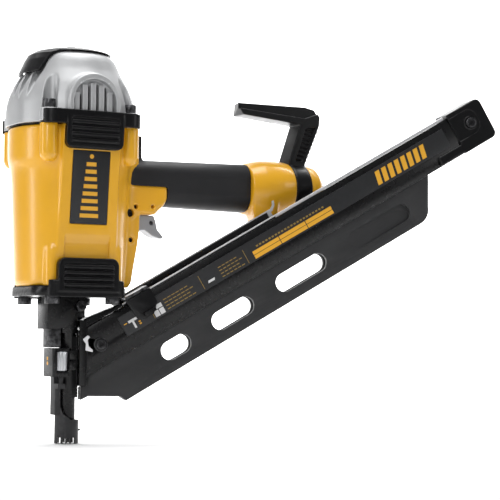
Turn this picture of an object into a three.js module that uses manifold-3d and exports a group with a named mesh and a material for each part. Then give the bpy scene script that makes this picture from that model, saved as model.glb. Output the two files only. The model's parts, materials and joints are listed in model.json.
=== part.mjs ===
// Pneumatic framing nail gun: a three.js scene graph with one named mesh for each piece.
// Millimetres, +Z up along the drive axis, +X along the handle, origin at the nose tip.
import * as THREE from 'three';
import { mergeVertices } from 'three/addons/utils/BufferGeometryUtils.js';
import Module from 'manifold-3d';

const wasm = await Module();
wasm.setup();

// ---------------------------------------------------------------- driving dimensions
const GAP = 0.3;                      // left between two pieces that touch
const DEG = Math.PI / 180;

const FLANGE_Z = [134.5, 142.4];      // nose flange, bottom and top
const HOUSING_Z = [143.5, 288.5];     // main casting
const CAP_Z = [290.2, 362.6];           // cylinder cap
const PANEL_Y = 40;                   // side panel's distance from the axis at the housing's foot
const PANEL_SLOPE = 0.1;              // the panels open upward
const CAP_SCREW = [39.5, 45.5];       // screw pattern of the cap, half spacings
const NOSE_BOLT = [29.5, 34];         // bolt pattern of the nose flange, half spacings
const LUG_R = 8.2;

const HANDLE_Z = 243.5;               // height of the handle's axis
const GRIP_X = [52, 181.2];
const BULGE_X = [181.5, 228];
const HOOK_X = [228.3, 246];
const HANDLE_END_X = 246.3;
const INLET_X = 271;

const DRIVER_R = 3.4;
const BORE_R = 4.7;
const NOSE_R = 7.8;
const FOOT_R = 11;
const CYLINDER_R = 31.8;

const TRIGGER_PIVOT = [59.7, 219.5];  // x, z
const TRIP_PIVOT = [80.2, 205.7];
const STEM_X = 74.5;
const WHEEL = [-9.8, -9.6];           // x, y of the depth wheel's axis

const TILT = 30.5 * DEG;              // magazine's rise
const CANT = 12 * DEG;                // magazine's swing to the -Y side
const RAIL_A = [480, 520];            // end of the rail, end of its cap, along the magazine
const GUIDE_TOP = 43.5;               // seam between lower guide and rail, above the magazine's base line
const RAIL_TOP = 83;
const RAIL_HALF = 13;
const GUIDE_HALF = 7.6;
const NAIL_HALF = 2.7;                // half width of the nail channel
const HEAD_HALF = 5.4;                // half width of the channel for the nail heads
const SLOT_U = 25;                    // middle of the windows in the lower guide
const SLOT_R = 9;
const WINDOWS = [[117, 148.5], [173.5, 219.5], [246.5, 303.5]];
const BLIND_WINDOW = [332, 402];

// ---------------------------------------------------------------- materials
const COLOURS = {
  yellow: [0xf0b323, 0.45, 0.0],
  silver: [0xc9cacb, 0.35, 0.75],
  rubber: [0x232426, 0.8, 0.0],
  black: [0x17181a, 0.45, 0.2],
  plate: [0x3a3b3d, 0.5, 0.4],
  castGrey: [0x9a9b9d, 0.5, 0.6],
  steel: [0xb8babd, 0.3, 0.9],
  darkSteel: [0x3b3c3f, 0.4, 0.8],
  label: [0x2a2b2c, 0.5, 0.0],
};

function finish(name) {
  const [color, roughness, metalness] = COLOURS[name];
  return new THREE.MeshStandardMaterial({ color, roughness, metalness });
}

// ---------------------------------------------------------------- solids
function solidOf(geometry) {
  let bare = geometry.clone();
  bare.deleteAttribute('normal');
  bare.deleteAttribute('uv');
  bare = mergeVertices(bare, 1e-4);
  const vertProperties = new Float32Array(bare.attributes.position.array);
  const triVerts = new Uint32Array(bare.index.array);
  return new wasm.Manifold(new wasm.Mesh({ numProp: 3, vertProperties, triVerts }));
}

function geometryOf(solid) {
  const mesh = solid.getMesh();
  const geometry = new THREE.BufferGeometry();
  geometry.setAttribute('position', new THREE.BufferAttribute(mesh.vertProperties, 3));
  geometry.setIndex(new THREE.BufferAttribute(mesh.triVerts, 1));
  geometry.computeVertexNormals();
  return geometry;
}

function join(...geometries) {
  return geometryOf(geometries.map(solidOf).reduce((all, next) => all.add(next)));
}

function cut(body, ...tools) {
  return geometryOf(tools.map(solidOf).reduce((rest, tool) => rest.subtract(tool), solidOf(body)));
}

function common(a, b) {
  return geometryOf(solidOf(a).intersect(solidOf(b)));
}

function box(x0, x1, y0, y1, z0, z1) {
  const geometry = new THREE.BoxGeometry(x1 - x0, y1 - y0, z1 - z0);
  return geometry.translate((x0 + x1) / 2, (y0 + y1) / 2, (z0 + z1) / 2);
}

// Cylinder along z from z0 to z1 about (x, y).
function post(x, y, radius, z0, z1, sides = 16) {
  const geometry = new THREE.CylinderGeometry(radius, radius, z1 - z0, sides);
  return geometry.rotateX(Math.PI / 2).translate(x, y, (z0 + z1) / 2);
}

// Cylinder along y from y0 to y1 about (x, z).
function pin(x, z, radius, y0, y1, sides = 14) {
  return new THREE.CylinderGeometry(radius, radius, y1 - y0, sides).translate(x, (y0 + y1) / 2, z);
}

function ball(x, y, z, radius) {
  return new THREE.SphereGeometry(radius, 12, 6).rotateX(Math.PI / 2).translate(x, y, z);
}

// Profile of [radius, height] pairs turned about z.
function turnedZ(profile, sides = 36) {
  const points = profile.map(([radius, height]) => new THREE.Vector2(radius, height));
  return new THREE.LatheGeometry(points, sides).rotateX(Math.PI / 2);
}

// Profile of [radius, x] pairs turned about the handle's axis.
function turnedX(profile, sides = 28) {
  const points = profile.map(([radius, x]) => new THREE.Vector2(radius, x));
  return new THREE.LatheGeometry(points, sides).rotateZ(-Math.PI / 2).translate(0, 0, HANDLE_Z);
}

function ring(inner, outer, z0, z1, sides = 32) {
  return turnedZ([[inner, z0], [outer, z0], [outer, z1], [inner, z1], [inner, z0]], sides);
}

function shapeOf(points) {
  return new THREE.Shape(points.map(([x, y]) => new THREE.Vector2(x, y)));
}

function extruded(outline, depth, curveSegments = 6) {
  return new THREE.ExtrudeGeometry(outline, { depth, bevelEnabled: false, curveSegments });
}

// Outline of [x, z] points, thick from y0 to y1.
function plateXZ(points, y0, y1) {
  const outline = points instanceof THREE.Shape ? points : shapeOf(points);
  const geometry = extruded(outline, y1 - y0, 7);
  return geometry.rotateX(Math.PI / 2).translate(0, y1, 0);
}

// Outline of [y, z] points, thick from x0 to x1.
function plateYZ(points, x0, x1) {
  const outline = points instanceof THREE.Shape ? points : shapeOf(points);
  const geometry = extruded(outline, x1 - x0);
  return geometry.rotateZ(Math.PI / 2).rotateY(Math.PI / 2).translate(x0, 0, 0);
}

// Outline in plan, thick from z0 to z1.
function plateXY(outline, z0, z1) {
  return extruded(outline, z1 - z0).translate(0, 0, z0);
}

function roundedRect(halfU, halfV, radius, cu = 0, cv = 0) {
  const shape = new THREE.Shape();
  const corners = [[1, -1, -90], [1, 1, 0], [-1, 1, 90], [-1, -1, 180]];
  for (const [su, sv, start] of corners) {
    const u = cu + su * (halfU - radius);
    const v = cv + sv * (halfV - radius);
    shape.absarc(u, v, radius, start * DEG, (start + 90) * DEG, false);
  }
  return shape;
}

function mirrored(geometry) {
  const flipped = (geometry.index ? geometry.clone() : mergeVertices(geometry)).scale(1, -1, 1);
  const index = flipped.index.array;
  for (let i = 0; i < index.length; i += 3) {
    [index[i], index[i + 1]] = [index[i + 1], index[i]];
  }
  return flipped;
}

function helix(x, y, radius, wire, z0, z1, turns) {
  const path = new THREE.Curve();
  path.getPoint = (t) => {
    const angle = t * turns * 2 * Math.PI;
    return new THREE.Vector3(x + radius * Math.cos(angle), y + radius * Math.sin(angle), z0 + (z1 - z0) * t);
  };
  const section = new THREE.Shape().absarc(0, 0, wire, 0, 2 * Math.PI, false);
  const options = { steps: turns * 7, extrudePath: path, curveSegments: 2, bevelEnabled: false };
  return new THREE.ExtrudeGeometry(section, options);
}

// ---------------------------------------------------------------- scene graph
const group = new THREE.Group();
const yawed = new THREE.Group();       // magazine frame with its cant only
yawed.rotation.z = -CANT;
const tilted = new THREE.Group();      // magazine frame with cant and rise
tilted.rotation.y = -TILT;
yawed.add(tilted);
group.add(yawed);

function add(name, geometry, material, parent = group) {
  const mesh = new THREE.Mesh(geometry, finish(material));
  mesh.name = name;
  parent.add(mesh);
  return mesh;
}

// Turns a shape made in the canted frame into the tool's frame.
function fromYawed(geometry) {
  return geometry.rotateZ(-CANT);
}

const SIDES = [['left', -1], ['right', 1]];
const QUARTERS = [[-1, -1], [1, -1], [1, 1], [-1, 1]];

function panelY(z) {
  return PANEL_Y + PANEL_SLOPE * (z - HOUSING_Z[0]);
}

// Slab that follows the +Y side panel: from `inner` to `outer` beyond it, between z0 and z1.
function panelSlab(inner, outer, halfX, z0, z1) {
  const points = [
    [panelY(z0) + inner, z0],
    [panelY(z0) + outer, z0],
    [panelY(z1) + outer, z1],
    [panelY(z1) + inner, z1],
  ];
  return plateYZ(points, -halfX, halfX);
}

// ---------------------------------------------------------------- housing
const NAMEPLATE = { halfX: 18.3, z0: 199, z1: 265.5, depth: 1.2 };
const POCKET_HALF = 8.2;
const AIR_R = 12.5;
const RISER = { x: [48.8, 52.6], y: [6.5, 10.5] };

function housingBarrel() {
  const [z0, z1] = HOUSING_Z;
  const parts = [turnedZ([[0, z0], [50, z0], [50.5, 160], [55, 235], [57, 262], [57.5, z1], [0, z1]], 32)];
  for (const side of [1, -1]) {
    const slab = panelSlab(-14, 0, 28, 236, z1);
    parts.push(side > 0 ? slab : mirrored(slab));
  }
  for (const [sx, sy] of QUARTERS) {
    const [cx, cy] = [sx * CAP_SCREW[0], sy * CAP_SCREW[1]];
    parts.push(post(cx, cy, LUG_R, 262, z1), ball(cx, cy, 262, LUG_R));
    const [bx, by] = [sx * NOSE_BOLT[0], sy * NOSE_BOLT[1]];
    parts.push(post(bx, by, 8, z0, 175), ball(bx, by, 175, 8));
  }
  return join(...parts);
}

function housingWeb() {
  const [z0, z1] = HOUSING_Z;
  const web = plateXZ([
    [40, z0], [52.5, z0], [56.8, 148], [63.4, 185], [65, 199], [65, 213.5], [81, 213.5], [87, 220],
    [92, 229], [92, 250], [63.5, 250], [63.5, z1], [40, z1],
  ], -13.5, 13.5);
  const yoke = plateXZ([
    [48, 222], [52, 216], [81, 214], [87, 220], [92, 229], [92, 239.2], [48, 239.2],
  ], -17.6, 17.6);
  return join(web, yoke);
}

function handleCore() {
  const tube = plateYZ(roundedRect(15.5, 18.5, 12, 0, HANDLE_Z), 44, BULGE_X[0] + 2);
  const [x0, x1] = BULGE_X;
  const bulge = turnedX([
    [0, x0], [23.6, x0], [26.6, x0 + 7], [28.8, x0 + 18], [29, x0 + 32], [27.4, x1],
    [21.8, x1], [21.8, HANDLE_END_X], [0, HANDLE_END_X],
  ]);
  return join(tube, bulge);
}

// Yellow foot under the bulge that reaches over to the magazine's far side.
function handleFoot() {
  return fromYawed(plateXZ([[184, 196], [207, 200], [209, 236], [184, 236]], 17.6, 44));
}

function housing() {
  let body = join(housingBarrel(), housingWeb(), handleCore(), handleFoot());
  const bore = turnedZ([
    [0, 143], [36.2, 143], [36.2, 172], [38.5, 180], [44, 240], [46, 262], [46, 289], [0, 289],
  ], 32);
  const air = turnedX([[0, 36], [AIR_R, 36], [AIR_R, 252], [0, 252]], 16);
  const pocket = join(
    box(53, 88.5, -POCKET_HALF, POCKET_HALF, 190, 226),
    box(47, 62, -11.3, 11.3, 176, 226),
  );
  const riserSlot = box(47.8, 53.6, RISER.y[0] - 0.8, RISER.y[1] + 0.8, 142, 180);
  const pins = [
    pin(...TRIGGER_PIVOT, 2.1, -20, 20),
    pin(55.2, 188.3, 2.4, -20, 20),
    pin(53.8, 213.5, 3.8, -20, 20),
    pin(77, 220.2, 1.8, -20, 20),
  ];
  body = cut(body, bore, air, pocket, riserSlot, post(STEM_X, 0, 6.9, 220, 240), ...pins);
  const tools = [];
  for (const [, side] of SIDES) {
    const beyond = panelSlab(0, 30, 30, 140, 290);
    const plate = panelSlab(-NAMEPLATE.depth, 1, NAMEPLATE.halfX, NAMEPLATE.z0, NAMEPLATE.z1);
    const step = panelSlab(-1, 1, 21.8, 178.6, 188.8);
    const keep = join(...[-1, 1].map((sx) => join(
      post(sx * NOSE_BOLT[0], NOSE_BOLT[1], 8, 139, 175),
      ball(sx * NOSE_BOLT[0], NOSE_BOLT[1], 175, 8),
    )));
    const flat = cut(beyond, keep);
    tools.push(...[flat, plate, step].map((tool) => (side > 0 ? tool : mirrored(tool))));
  }
  for (const [sx, sy] of QUARTERS) {
    tools.push(post(sx * CAP_SCREW[0], sy * CAP_SCREW[1], 3.1, 268, 289, 12));
    tools.push(post(sx * NOSE_BOLT[0], sy * NOSE_BOLT[1], 3.4, 143, 160, 12));
  }
  tools.push(fromYawed(pin(196, 207, 2.7, 16, 36)));
  return cut(body, ...tools);
}

function nameplate(side) {
  const { halfX, z0, z1, depth } = NAMEPLATE;
  const plate = panelSlab(GAP - depth, -0.1, halfX - GAP, z0 + GAP, z1 - GAP);
  return side > 0 ? plate : mirrored(plate);
}

function gripSleeve() {
  const [x0, x1] = GRIP_X;
  const sleeve = plateYZ(roundedRect(18.6, 22, 15, 0, HANDLE_Z), x0, x1);
  const widen = (geometry) => {
    const position = geometry.attributes.position;
    for (let i = 0; i < position.count; i += 1) {
      const along = (position.getX(i) - x0) / (x1 - x0);
      position.setZ(i, HANDLE_Z + (position.getZ(i) - HANDLE_Z) * (0.95 + 0.11 * along));
    }
    return geometry;
  };
  const strip = join(
    box(63.8, 68, -11, 11, 250, 287),
    box(63.8, 71, -11, 11, 250, 266),
  );
  const core = plateYZ(roundedRect(15.8, 18.8, 12.3, 0, HANDLE_Z), 40, 190);
  return cut(
    join(widen(sleeve), strip),
    core,
    box(40, 92.3, -25, 25, 200, 239.5),
    box(40, 63.8, -13.8, 13.8, 200, 300),
    turnedZ([[0, 230], [56, 230], [57.8, 262], [57.8, 300], [0, 300]], 32),
  );
}

// ---------------------------------------------------------------- cap and exhaust
const DOME = [[45.3, 341], [41.5, 350], [38.4, 354.8], [33, 358.4], [24, 360.9], [12, 362.2], [0, CAP_Z[1]]];

function cylinderCap() {
  const [z0] = CAP_Z;
  const dome = turnedZ([[0, z0], [59.5, z0], [60.3, 300], [59.6, 309], [57, 318], [53, 327.5], ...DOME], 32);
  const square = plateXY(roundedRect(57.6, 56.5, 26), z0 - 1, CAP_Z[1] + 1);
  const lugs = QUARTERS.map(([sx, sy]) => post(sx * CAP_SCREW[0], sy * CAP_SCREW[1], LUG_R, z0, 302));
  const arches = [-1, 1].map((side) => common(
    pin(0, 301, 25, Math.min(side * 40, side * 57.6), Math.max(side * 40, side * 57.6), 24),
    box(-30, 30, -60, 60, z0, 340),
  ));
  const cap = join(common(dome, square), ...lugs, ...arches);
  const tools = [post(0, 0, 41, z0 - 1, 316, 24), post(0, 0, 26, 315, 335, 24)];
  for (const [sx, sy] of QUARTERS) {
    const [x, y] = [sx * CAP_SCREW[0], sy * CAP_SCREW[1]];
    tools.push(post(x, y, 6.4, 302, 345), post(x, y, 3.1, z0 - 1, 303, 12));
  }
  for (const side of [-1, 1]) {
    const recess = pin(0, 301, 20, 53, 60, 24);
    const slots = [-13.5, -4.5, 4.5, 13.5].map((x) => common(
      pin(0, 301, 18, 47, 60, 24),
      box(x - 1.6, x + 1.6, 40, 60, z0 + 3, 325),
    ));
    const both = join(recess, ...slots);
    tools.push(side > 0 ? both : mirrored(both));
  }
  for (const y of [-20, -10, 0, 10, 20]) {
    tools.push(box(-64, -24, y - 2.6, y + 2.6, 320, 334));
  }
  tools.push(post(0, 0, 2.6, 345, 364, 12));
  return cut(cap, ...tools);
}

// Disc that follows the dome, with a tongue down its front.
function exhaustDeflector() {
  const lift = 0.4;
  const thick = 1.8;
  const under = [[0, CAP_Z[1] + lift], [12, 362.2 + lift], [24, 360.9 + lift], [33.2, 358.4 + lift]];
  const over = [...under].reverse().map(([radius, z]) => [radius + (radius ? 0.4 : 0), z + thick]);
  const rim = [[36.4, 357.1], [37, 359.3]];
  const disc = turnedZ([...under, ...rim, ...over.slice(0, -1), [0, CAP_Z[1] + lift + thick]], 36);
  const tongueRing = turnedZ([
    [33.6, 358.5], [38.8, 355.3], [42, 350.3], [45.8, 341.4],
    [47.7, 341.4], [43.6, 351.2], [40.2, 356.6], [34.5, 360.4], [33.6, 358.5],
  ], 32);
  const tongue = common(tongueRing, box(-60, -20, -26, 26, 335, 370));
  return cut(join(disc, tongue), post(0, 0, 2.6, 350, 370, 12));
}

function socketScrew(x, y, seat, headR, headH, shankR, shankL) {
  const socket = post(x, y, headR * 0.5, seat + headH * 0.5, seat + headH + 1, 6);
  const head = cut(post(x, y, headR, seat, seat + headH, 20), socket);
  return join(head, post(x, y, shankR, seat - shankL, seat + 0.1, 12));
}

function upperBumper(side) {
  const [z0, z1] = [287.6, 300.8];
  const band = plateXY(roundedRect(48.6, 60.3, 13), z0, z1);
  const pad = join(panelSlab(GAP, 7.2, 27.8, 266, 287.9), box(-27.8, 27.8, 55, 61, 282, 299));
  const ribs = [0, 1, 2, 3].map((i) => box(-22.6, 22.6, 58, 62, 274.6 + 4.6 * i, 277 + 4.6 * i));
  const envelope = join(
    plateXY(roundedRect(58, 56.8, 26), 286, 305),
    ...QUARTERS.map(([sx, sy]) => post(sx * CAP_SCREW[0], sy * CAP_SCREW[1], LUG_R + GAP, 255, 305)),
    pin(0, 301, 25.3, -57.9, 57.9, 24),
    panelSlab(-30, GAP, 28.3, 236, 290),
  );
  const solid = cut(join(band, pad, ...ribs), envelope, box(-60, 60, -70, 44, 250, 310));
  return side > 0 ? solid : mirrored(solid);
}

function lowerBumper(side) {
  const base = plateXY(roundedRect(38.2, 49.5, 12), 133, 148.6);
  const pad = box(-29.5, 29.5, 42, 50, 148, 168.5);
  const ribs = [0, 1, 2, 3].map((i) => box(-23, 23, 48, 51.4, 145.6 + 4.6 * i, 148 + 4.6 * i));
  const envelope = join(
    plateXY(roundedRect(45.5 + GAP, 45.5 + GAP, 24), 130, 143.2),
    box(-60, 60, -60, 42.6, 142, 180),
    ...QUARTERS.map(([sx, sy]) => post(sx * NOSE_BOLT[0], sy * NOSE_BOLT[1], 8 + GAP, 140, 190)),
  );
  const solid = cut(join(base, pad, ...ribs), envelope, box(-60, 60, -70, 30, 120, 180));
  return side > 0 ? solid : mirrored(solid);
}

// ---------------------------------------------------------------- cylinder and driver
function headValve() {
  return turnedZ([
    [0, 300], [24, 300], [26, 287.2], [40, 287.2], [40, 304], [22, 306], [12, 308], [12, 325], [0, 325],
  ], 32);
}

function piston() {
  const body = turnedZ([[0, 268], [12, 268], [31, 271], [31, 284], [0, 284]], 32);
  return cut(body, ring(28, 33, 275, 279, 40), post(0, 0, DRIVER_R + GAP, 260, 278, 12));
}

// ---------------------------------------------------------------- nose
function noseGuide() {
  const [z0, z1] = FLANGE_Z;
  const flange = plateXY(roundedRect(45.5, 45.5, 24), z0, z1);
  const block = join(box(-8.7, 6, -9.2, 9.2, 101, 118), box(-8.7, 13.2, -9.2, 9.2, 116, z0 + 0.1));
  const tube = post(0, 0, NOSE_R, 14, 102, 24);
  const cheeks = fromYawed(box(2, 8.2, -7, 7, 42, 98));
  const slot = fromYawed(box(0, 12, -NAIL_HALF, NAIL_HALF, 12, 100));
  const headSlot = fromYawed(box(0, 16, -HEAD_HALF, HEAD_HALF, 84, 102));
  const bolts = QUARTERS.map(([sx, sy]) => (
    post(sx * NOSE_BOLT[0], sy * NOSE_BOLT[1], 3.4, z0 - 1, z1 + 1, 12)
  ));
  return cut(
    join(flange, block, tube, cheeks), slot, headSlot, post(0, 0, BORE_R, 10, z1 + 1, 16),
    post(0, 0, 12, 138, z1 + 1), pin(7.3, 126, 2.5, -20, 20), ...bolts,
  );
}

// U-shaped cover that guides the contact arm, bolted to the nose on both sides.
function guideCover() {
  const outline = [
    [-25, 104.5], [-14, 104.5], [-7, 106.5], [-2, 109.8], [0.4, 114], [1.6, 118.6], [4, 120.8],
    [7.3, 120.2], [10.8, 121.2], [13, 124.4], [13.2, 127.6], [11.8, 130.8], [9, 134.2], [-25, 134.2],
  ];
  const shell = plateXZ(outline, -13, 13);
  return cut(
    shell,
    box(-22, 20, -9.5, 9.5, 100, 131.4), box(-9, 20, -9.5, 9.5, 100, 140),
    box(-18, 20, 9, 14, 100, 119), box(-22, 4, 9, 14, 100, 132.2),
    pin(7.3, 126, 2.6, -20, 20),
  );
}

function sideBolt(side) {
  const [x, z] = [7.3, 126];
  const head = cut(pin(x, z, 4.7, 13.3, 16.3), pin(x, z, 2.2, 14.8, 17, 6));
  const bolt = join(head, pin(x, z, 2.1, 7, 13.4, 12));
  return side > 0 ? bolt : mirrored(bolt);
}

function upperContactArm() {
  const front = join(
    box(-21.4, -17.8, -7.5, 7.5, 87.6, 117.8),
    box(-18, -9.6, -7.5, -5.4, 87.6, 105),
    box(-18, -9.6, 5.4, 7.5, 87.6, 105),
  );
  const seat = box(-18, -10.4, -3, 3, 101, 104.2);
  const strap = join(
    box(-21.4, -17.8, 7.4, 19.2, 106, 117),
    box(-21.4, RISER.x[1], 16.8, 19.2, 106, 117),
    box(RISER.x[0], RISER.x[1], RISER.y[0], 19.2, 106, 117),
  );
  const riser = box(...RISER.x, ...RISER.y, 106, 195);
  const tip = box(RISER.x[0], 56, -3, RISER.y[1], 191.5, 195);
  return join(front, seat, strap, riser, tip);
}

function depthFrame() {
  const frame = plateXY(roundedRect(8.25, 13, 2.5, -10.75, 0), 61, 87.3);
  const tabs = [[67, 75], [77, 85]].map(([z0, z1]) => box(-3, 3.6, -13, -10.2, z0, z1));
  return cut(
    join(frame, ...tabs),
    post(0, 0, NOSE_R + 0.6, 50, 100, 32),
    fromYawed(box(0, 9, -7.6, 7.6, 50, 100)),
    box(-15.6, -4, -14, -4, 66, 84.2),
    post(...WHEEL, 2.4, 50, 100, 12),
    box(-15.2, -8, -3.2, 6.5, 60, 83),
  );
}

function contactFoot() {
  const tube = cut(post(0, 0, FOOT_R, 0, 54.6, 28), post(0, 0, NOSE_R + 0.5, -1, 61, 32));
  const opening = plateXZ([[-9.6, 61], [-9.6, 36], [-7, 27], [0, 21.5], [20, 21.5], [20, 61]], -20, 20);
  const arm = join(box(-13.9, -8.6, -5.8, 5.8, 26, 54), box(-13.9, -8.6, -2.5, 5.8, 50, 76));
  const shoulder = box(-13.9, -6.5, -12.2, 5.8, 50, 54.6);
  const teeth = [[-7.2, -4.2, 5.4], [-2.2, 0.2, 4.4], [1.8, 3.8, 4], [5.4, 7.6, 5.4]].map(
    ([u0, u1, depth]) => box(u0, u1, -12, 12, -1, depth).rotateZ(-28 * DEG),
  );
  const spike = new THREE.ConeGeometry(1.8, 4.5, 8).rotateZ(-Math.PI / 2).translate(12.6, 0, 12);
  const body = cut(join(cut(tube, opening), arm, shoulder), post(0, 0, NOSE_R + 0.5, -1, 90, 32), ...teeth);
  return join(body, spike, post(...WHEEL, 1.9, 54, 79, 12));
}

function depthWheel() {
  const [x, y] = WHEEL;
  const rollers = [];
  for (let i = 0; i < 12; i += 1) {
    const angle = i * 30 * DEG;
    rollers.push(post(x + 4.8 * Math.cos(angle), y + 4.8 * Math.sin(angle), 0.55, 67, 83.4, 6));
  }
  return cut(join(post(x, y, 4.8, 66.6, 83.8), ...rollers), post(x, y, 2.2, 60, 90, 12));
}

// ---------------------------------------------------------------- trigger
function trigger() {
  const body = plateXZ([
    [56.2, 223], [63, 223.6], [66, 217], [68, 213.2], [83.2, 212.6], [85.4, 206],
    [86.8, 199.6], [92.6, 193.6], [92.8, 191.6], [90.6, 190.7],
    [82, 193.2], [73.6, 198.6], [66.4, 197.6], [65.4, 204], [56, 216],
  ], -7.6, 7.6);
  const channel = plateXZ([
    [50, 230], [84.4, 230], [84.2, 207], [82.5, 201.6], [72, 202.4], [60, 201], [50, 190],
  ], -4.6, 4.6);
  return cut(body, channel, pin(...TRIGGER_PIVOT, 2.2, -9, 9), pin(...TRIP_PIVOT, 2.1, -9, 9));
}

function tripLever() {
  const [x, z] = TRIP_PIVOT;
  const lever = plateXZ([[52.6, 206.4], [54, 205.6], [x, z - 2.9], [x, z + 2.9], [54, 208.8]], -4.1, 4.1);
  return cut(join(lever, pin(x, z, 3.4, -4.1, 4.1)), pin(x, z, 2.1, -9, 9));
}

function valveBody() {
  return turnedZ([
    [2.4, 217.5], [5, 217.5], [6.6, 219], [6.6, 236], [3.6, 238.6], [2.4, 238.6], [2.4, 217.5],
  ], 24).translate(STEM_X, 0, 0);
}

// ---------------------------------------------------------------- handle end
function hook() {
  const [x0, x1] = HOOK_X;
  const collar = turnedX([
    [22.1, x0], [26.6, x0], [27.4, x0 + 2], [27.4, x1 - 2], [26.6, x1], [22.1, x1], [22.1, x0],
  ], 32);
  const outline = new THREE.Shape();
  outline.moveTo(x0, 262);
  outline.lineTo(x1, 262);
  outline.lineTo(x1, 270.6);
  outline.lineTo(261.4, 306);
  outline.quadraticCurveTo(264, 325, 246, 327.6);
  outline.lineTo(170, 325.4);
  outline.quadraticCurveTo(169, 322, 175.4, 314.6);
  outline.lineTo(240.6, 309.3);
  outline.lineTo(x0, 274);
  const arm = cut(plateXZ(outline, -11.5, 11.5), turnedX([[0, 220], [24, 220], [24, 250], [0, 250]], 36));
  return join(collar, arm);
}

function handleEndCap() {
  const x = HANDLE_END_X + GAP;
  return turnedX([
    [11.2, x], [25.6, x], [26, x + 4], [25, x + 9.5], [20.5, x + 14.5],
    [14, x + 16.2], [11.2, x + 16.2], [11.2, x],
  ]);
}

function airInlet() {
  const x = HANDLE_END_X + GAP;
  return turnedX([
    [6, x - 12], [10.6, x - 12], [10.6, x + 17], [12.4, x + 17.5], [12.4, x + 21.5],
    [9.4, INLET_X], [6, INLET_X],
    [6, x - 12],
  ], 24);
}

// ---------------------------------------------------------------- magazine
// Shapes here lie in the tilted frame: x along the magazine, z square to it, y across it.
function tiltedFromYawed(geometry) {
  return geometry.rotateY(TILT);
}

function magazineRail() {
  const half = [
    [NAIL_HALF, GUIDE_TOP + GAP], [GUIDE_HALF + 1, GUIDE_TOP + GAP], [RAIL_HALF - 0.6, 50], [RAIL_HALF, 56],
    [RAIL_HALF, 77.4], [RAIL_HALF - 1.8, RAIL_TOP],
  ];
  const outline = [...half, ...half.map(([y, z]) => [-y, z]).reverse(), [-NAIL_HALF, 74], [-HEAD_HALF, 76],
    [-HEAD_HALF, 80], [HEAD_HALF, 80], [HEAD_HALF, 76], [NAIL_HALF, 74]];
  const body = plateYZ(outline, 30, RAIL_A[0]);
  const front = tiltedFromYawed(box(-60, 15.6, -30, 30, 0, 200));
  const eye = tiltedFromYawed(box(17.5, 23, -30, 30, 83.5, 96));
  const boltHole = tiltedFromYawed(pin(28.5, 90.8, 2.5, -20, -6));
  const topSlot = box(104, 470, -NAIL_HALF, NAIL_HALF, 79, 90);
  return cut(body, front, eye, boltHole, topSlot, box(RAIL_A[0] - 8, RAIL_A[0] + 1, -3.2, 3.2, 60, 66));
}

function windowPrism([a0, a1], y0, y1) {
  const shape = new THREE.Shape();
  shape.absarc(a1 - SLOT_R, SLOT_U, SLOT_R, -90 * DEG, 90 * DEG, false);
  shape.absarc(a0 + SLOT_R, SLOT_U, SLOT_R, 90 * DEG, 270 * DEG, false);
  return plateXZ(shape, y0, y1);
}

function lowerGuide() {
  const outline = new THREE.Shape();
  outline.moveTo(43.6, GUIDE_TOP);
  outline.lineTo(39.8, 36.9);
  outline.lineTo(36.1, 38.5);
  outline.lineTo(30.1, 28.2);
  outline.lineTo(37.8, 27.7);
  outline.lineTo(64, 12.1);
  outline.lineTo(67, 6);
  outline.lineTo(405, 6);
  outline.quadraticCurveTo(417, 6, 421.5, 17);
  outline.lineTo(437, GUIDE_TOP);
  const body = plateXZ(outline, -GUIDE_HALF, GUIDE_HALF);
  const channel = plateXZ([
    [20, 29], [62, 12.6], [70, 9.5], [403, 9.5], [434, GUIDE_TOP - 4], [434, 60], [20, 60],
  ], -NAIL_HALF, NAIL_HALF);
  const [b0, b1] = BLIND_WINDOW;
  const ramp = shapeOf([[b0 - 2, -GUIDE_HALF], [b1, -GUIDE_HALF + 3.6], [b1, -12], [b0 - 2, -12]]);
  const blind = common(windowPrism(BLIND_WINDOW, -10, -3), plateXY(ramp, 0, 60));
  return cut(body, channel, blind, mirrored(blind), ...WINDOWS.map((span) => windowPrism(span, -10, 10)));
}

function frontBracket() {
  const column = box(8.8, 15.3, -14, 14, 52.4, 113);
  const roof = plateXZ([[66, RAIL_TOP + 1], [107, RAIL_TOP + 1], [107, 87], [70, 91], [64, 91]], -12, 12);
  const body = join(tiltedFromYawed(column), roof);
  return cut(
    body,
    tiltedFromYawed(box(0, 30, -NAIL_HALF, NAIL_HALF, 30, 104)),
    tiltedFromYawed(box(0, 30, -HEAD_HALF, HEAD_HALF, 84, 104)),
    tiltedFromYawed(box(-30, 8.6, -20, 20, 96, 140)),
  );
}

function frontBracketBolt() {
  const [h, z] = [28.5, 90.8];
  const washer = pin(h, z, 6.6, -14.9, -13.3);
  const head = cut(pin(h, z, 4.4, -17.6, -14.8), pin(h, z, 2.1, -18, -16, 6));
  return tiltedFromYawed(join(washer, head, pin(h, z, 2.1, -13.4, -7, 12)));
}

function labelPanel(side) {
  const y = RAIL_HALF + GAP;
  return box(96, 470, Math.min(side * y, side * (y + 0.6)), Math.max(side * y, side * (y + 0.6)), 57.5, 77);
}

function farRailStrip() {
  const bar = box(60, 282, 8.4, 10.6, RAIL_TOP + GAP, 91.5);
  const curl = plateXZ([
    [280, 88.5], [284, 88.9], [288.4, 92.6], [290, 97], [288.4, 97.4], [286.6, 93.6], [283, 91.3], [280, 91],
  ], 8.4, 10.6);
  return cut(join(bar, curl), box(50, 108, 8, 11, 80, 92), box(107, 283, 9, 11, 84.5, 89));
}

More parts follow.
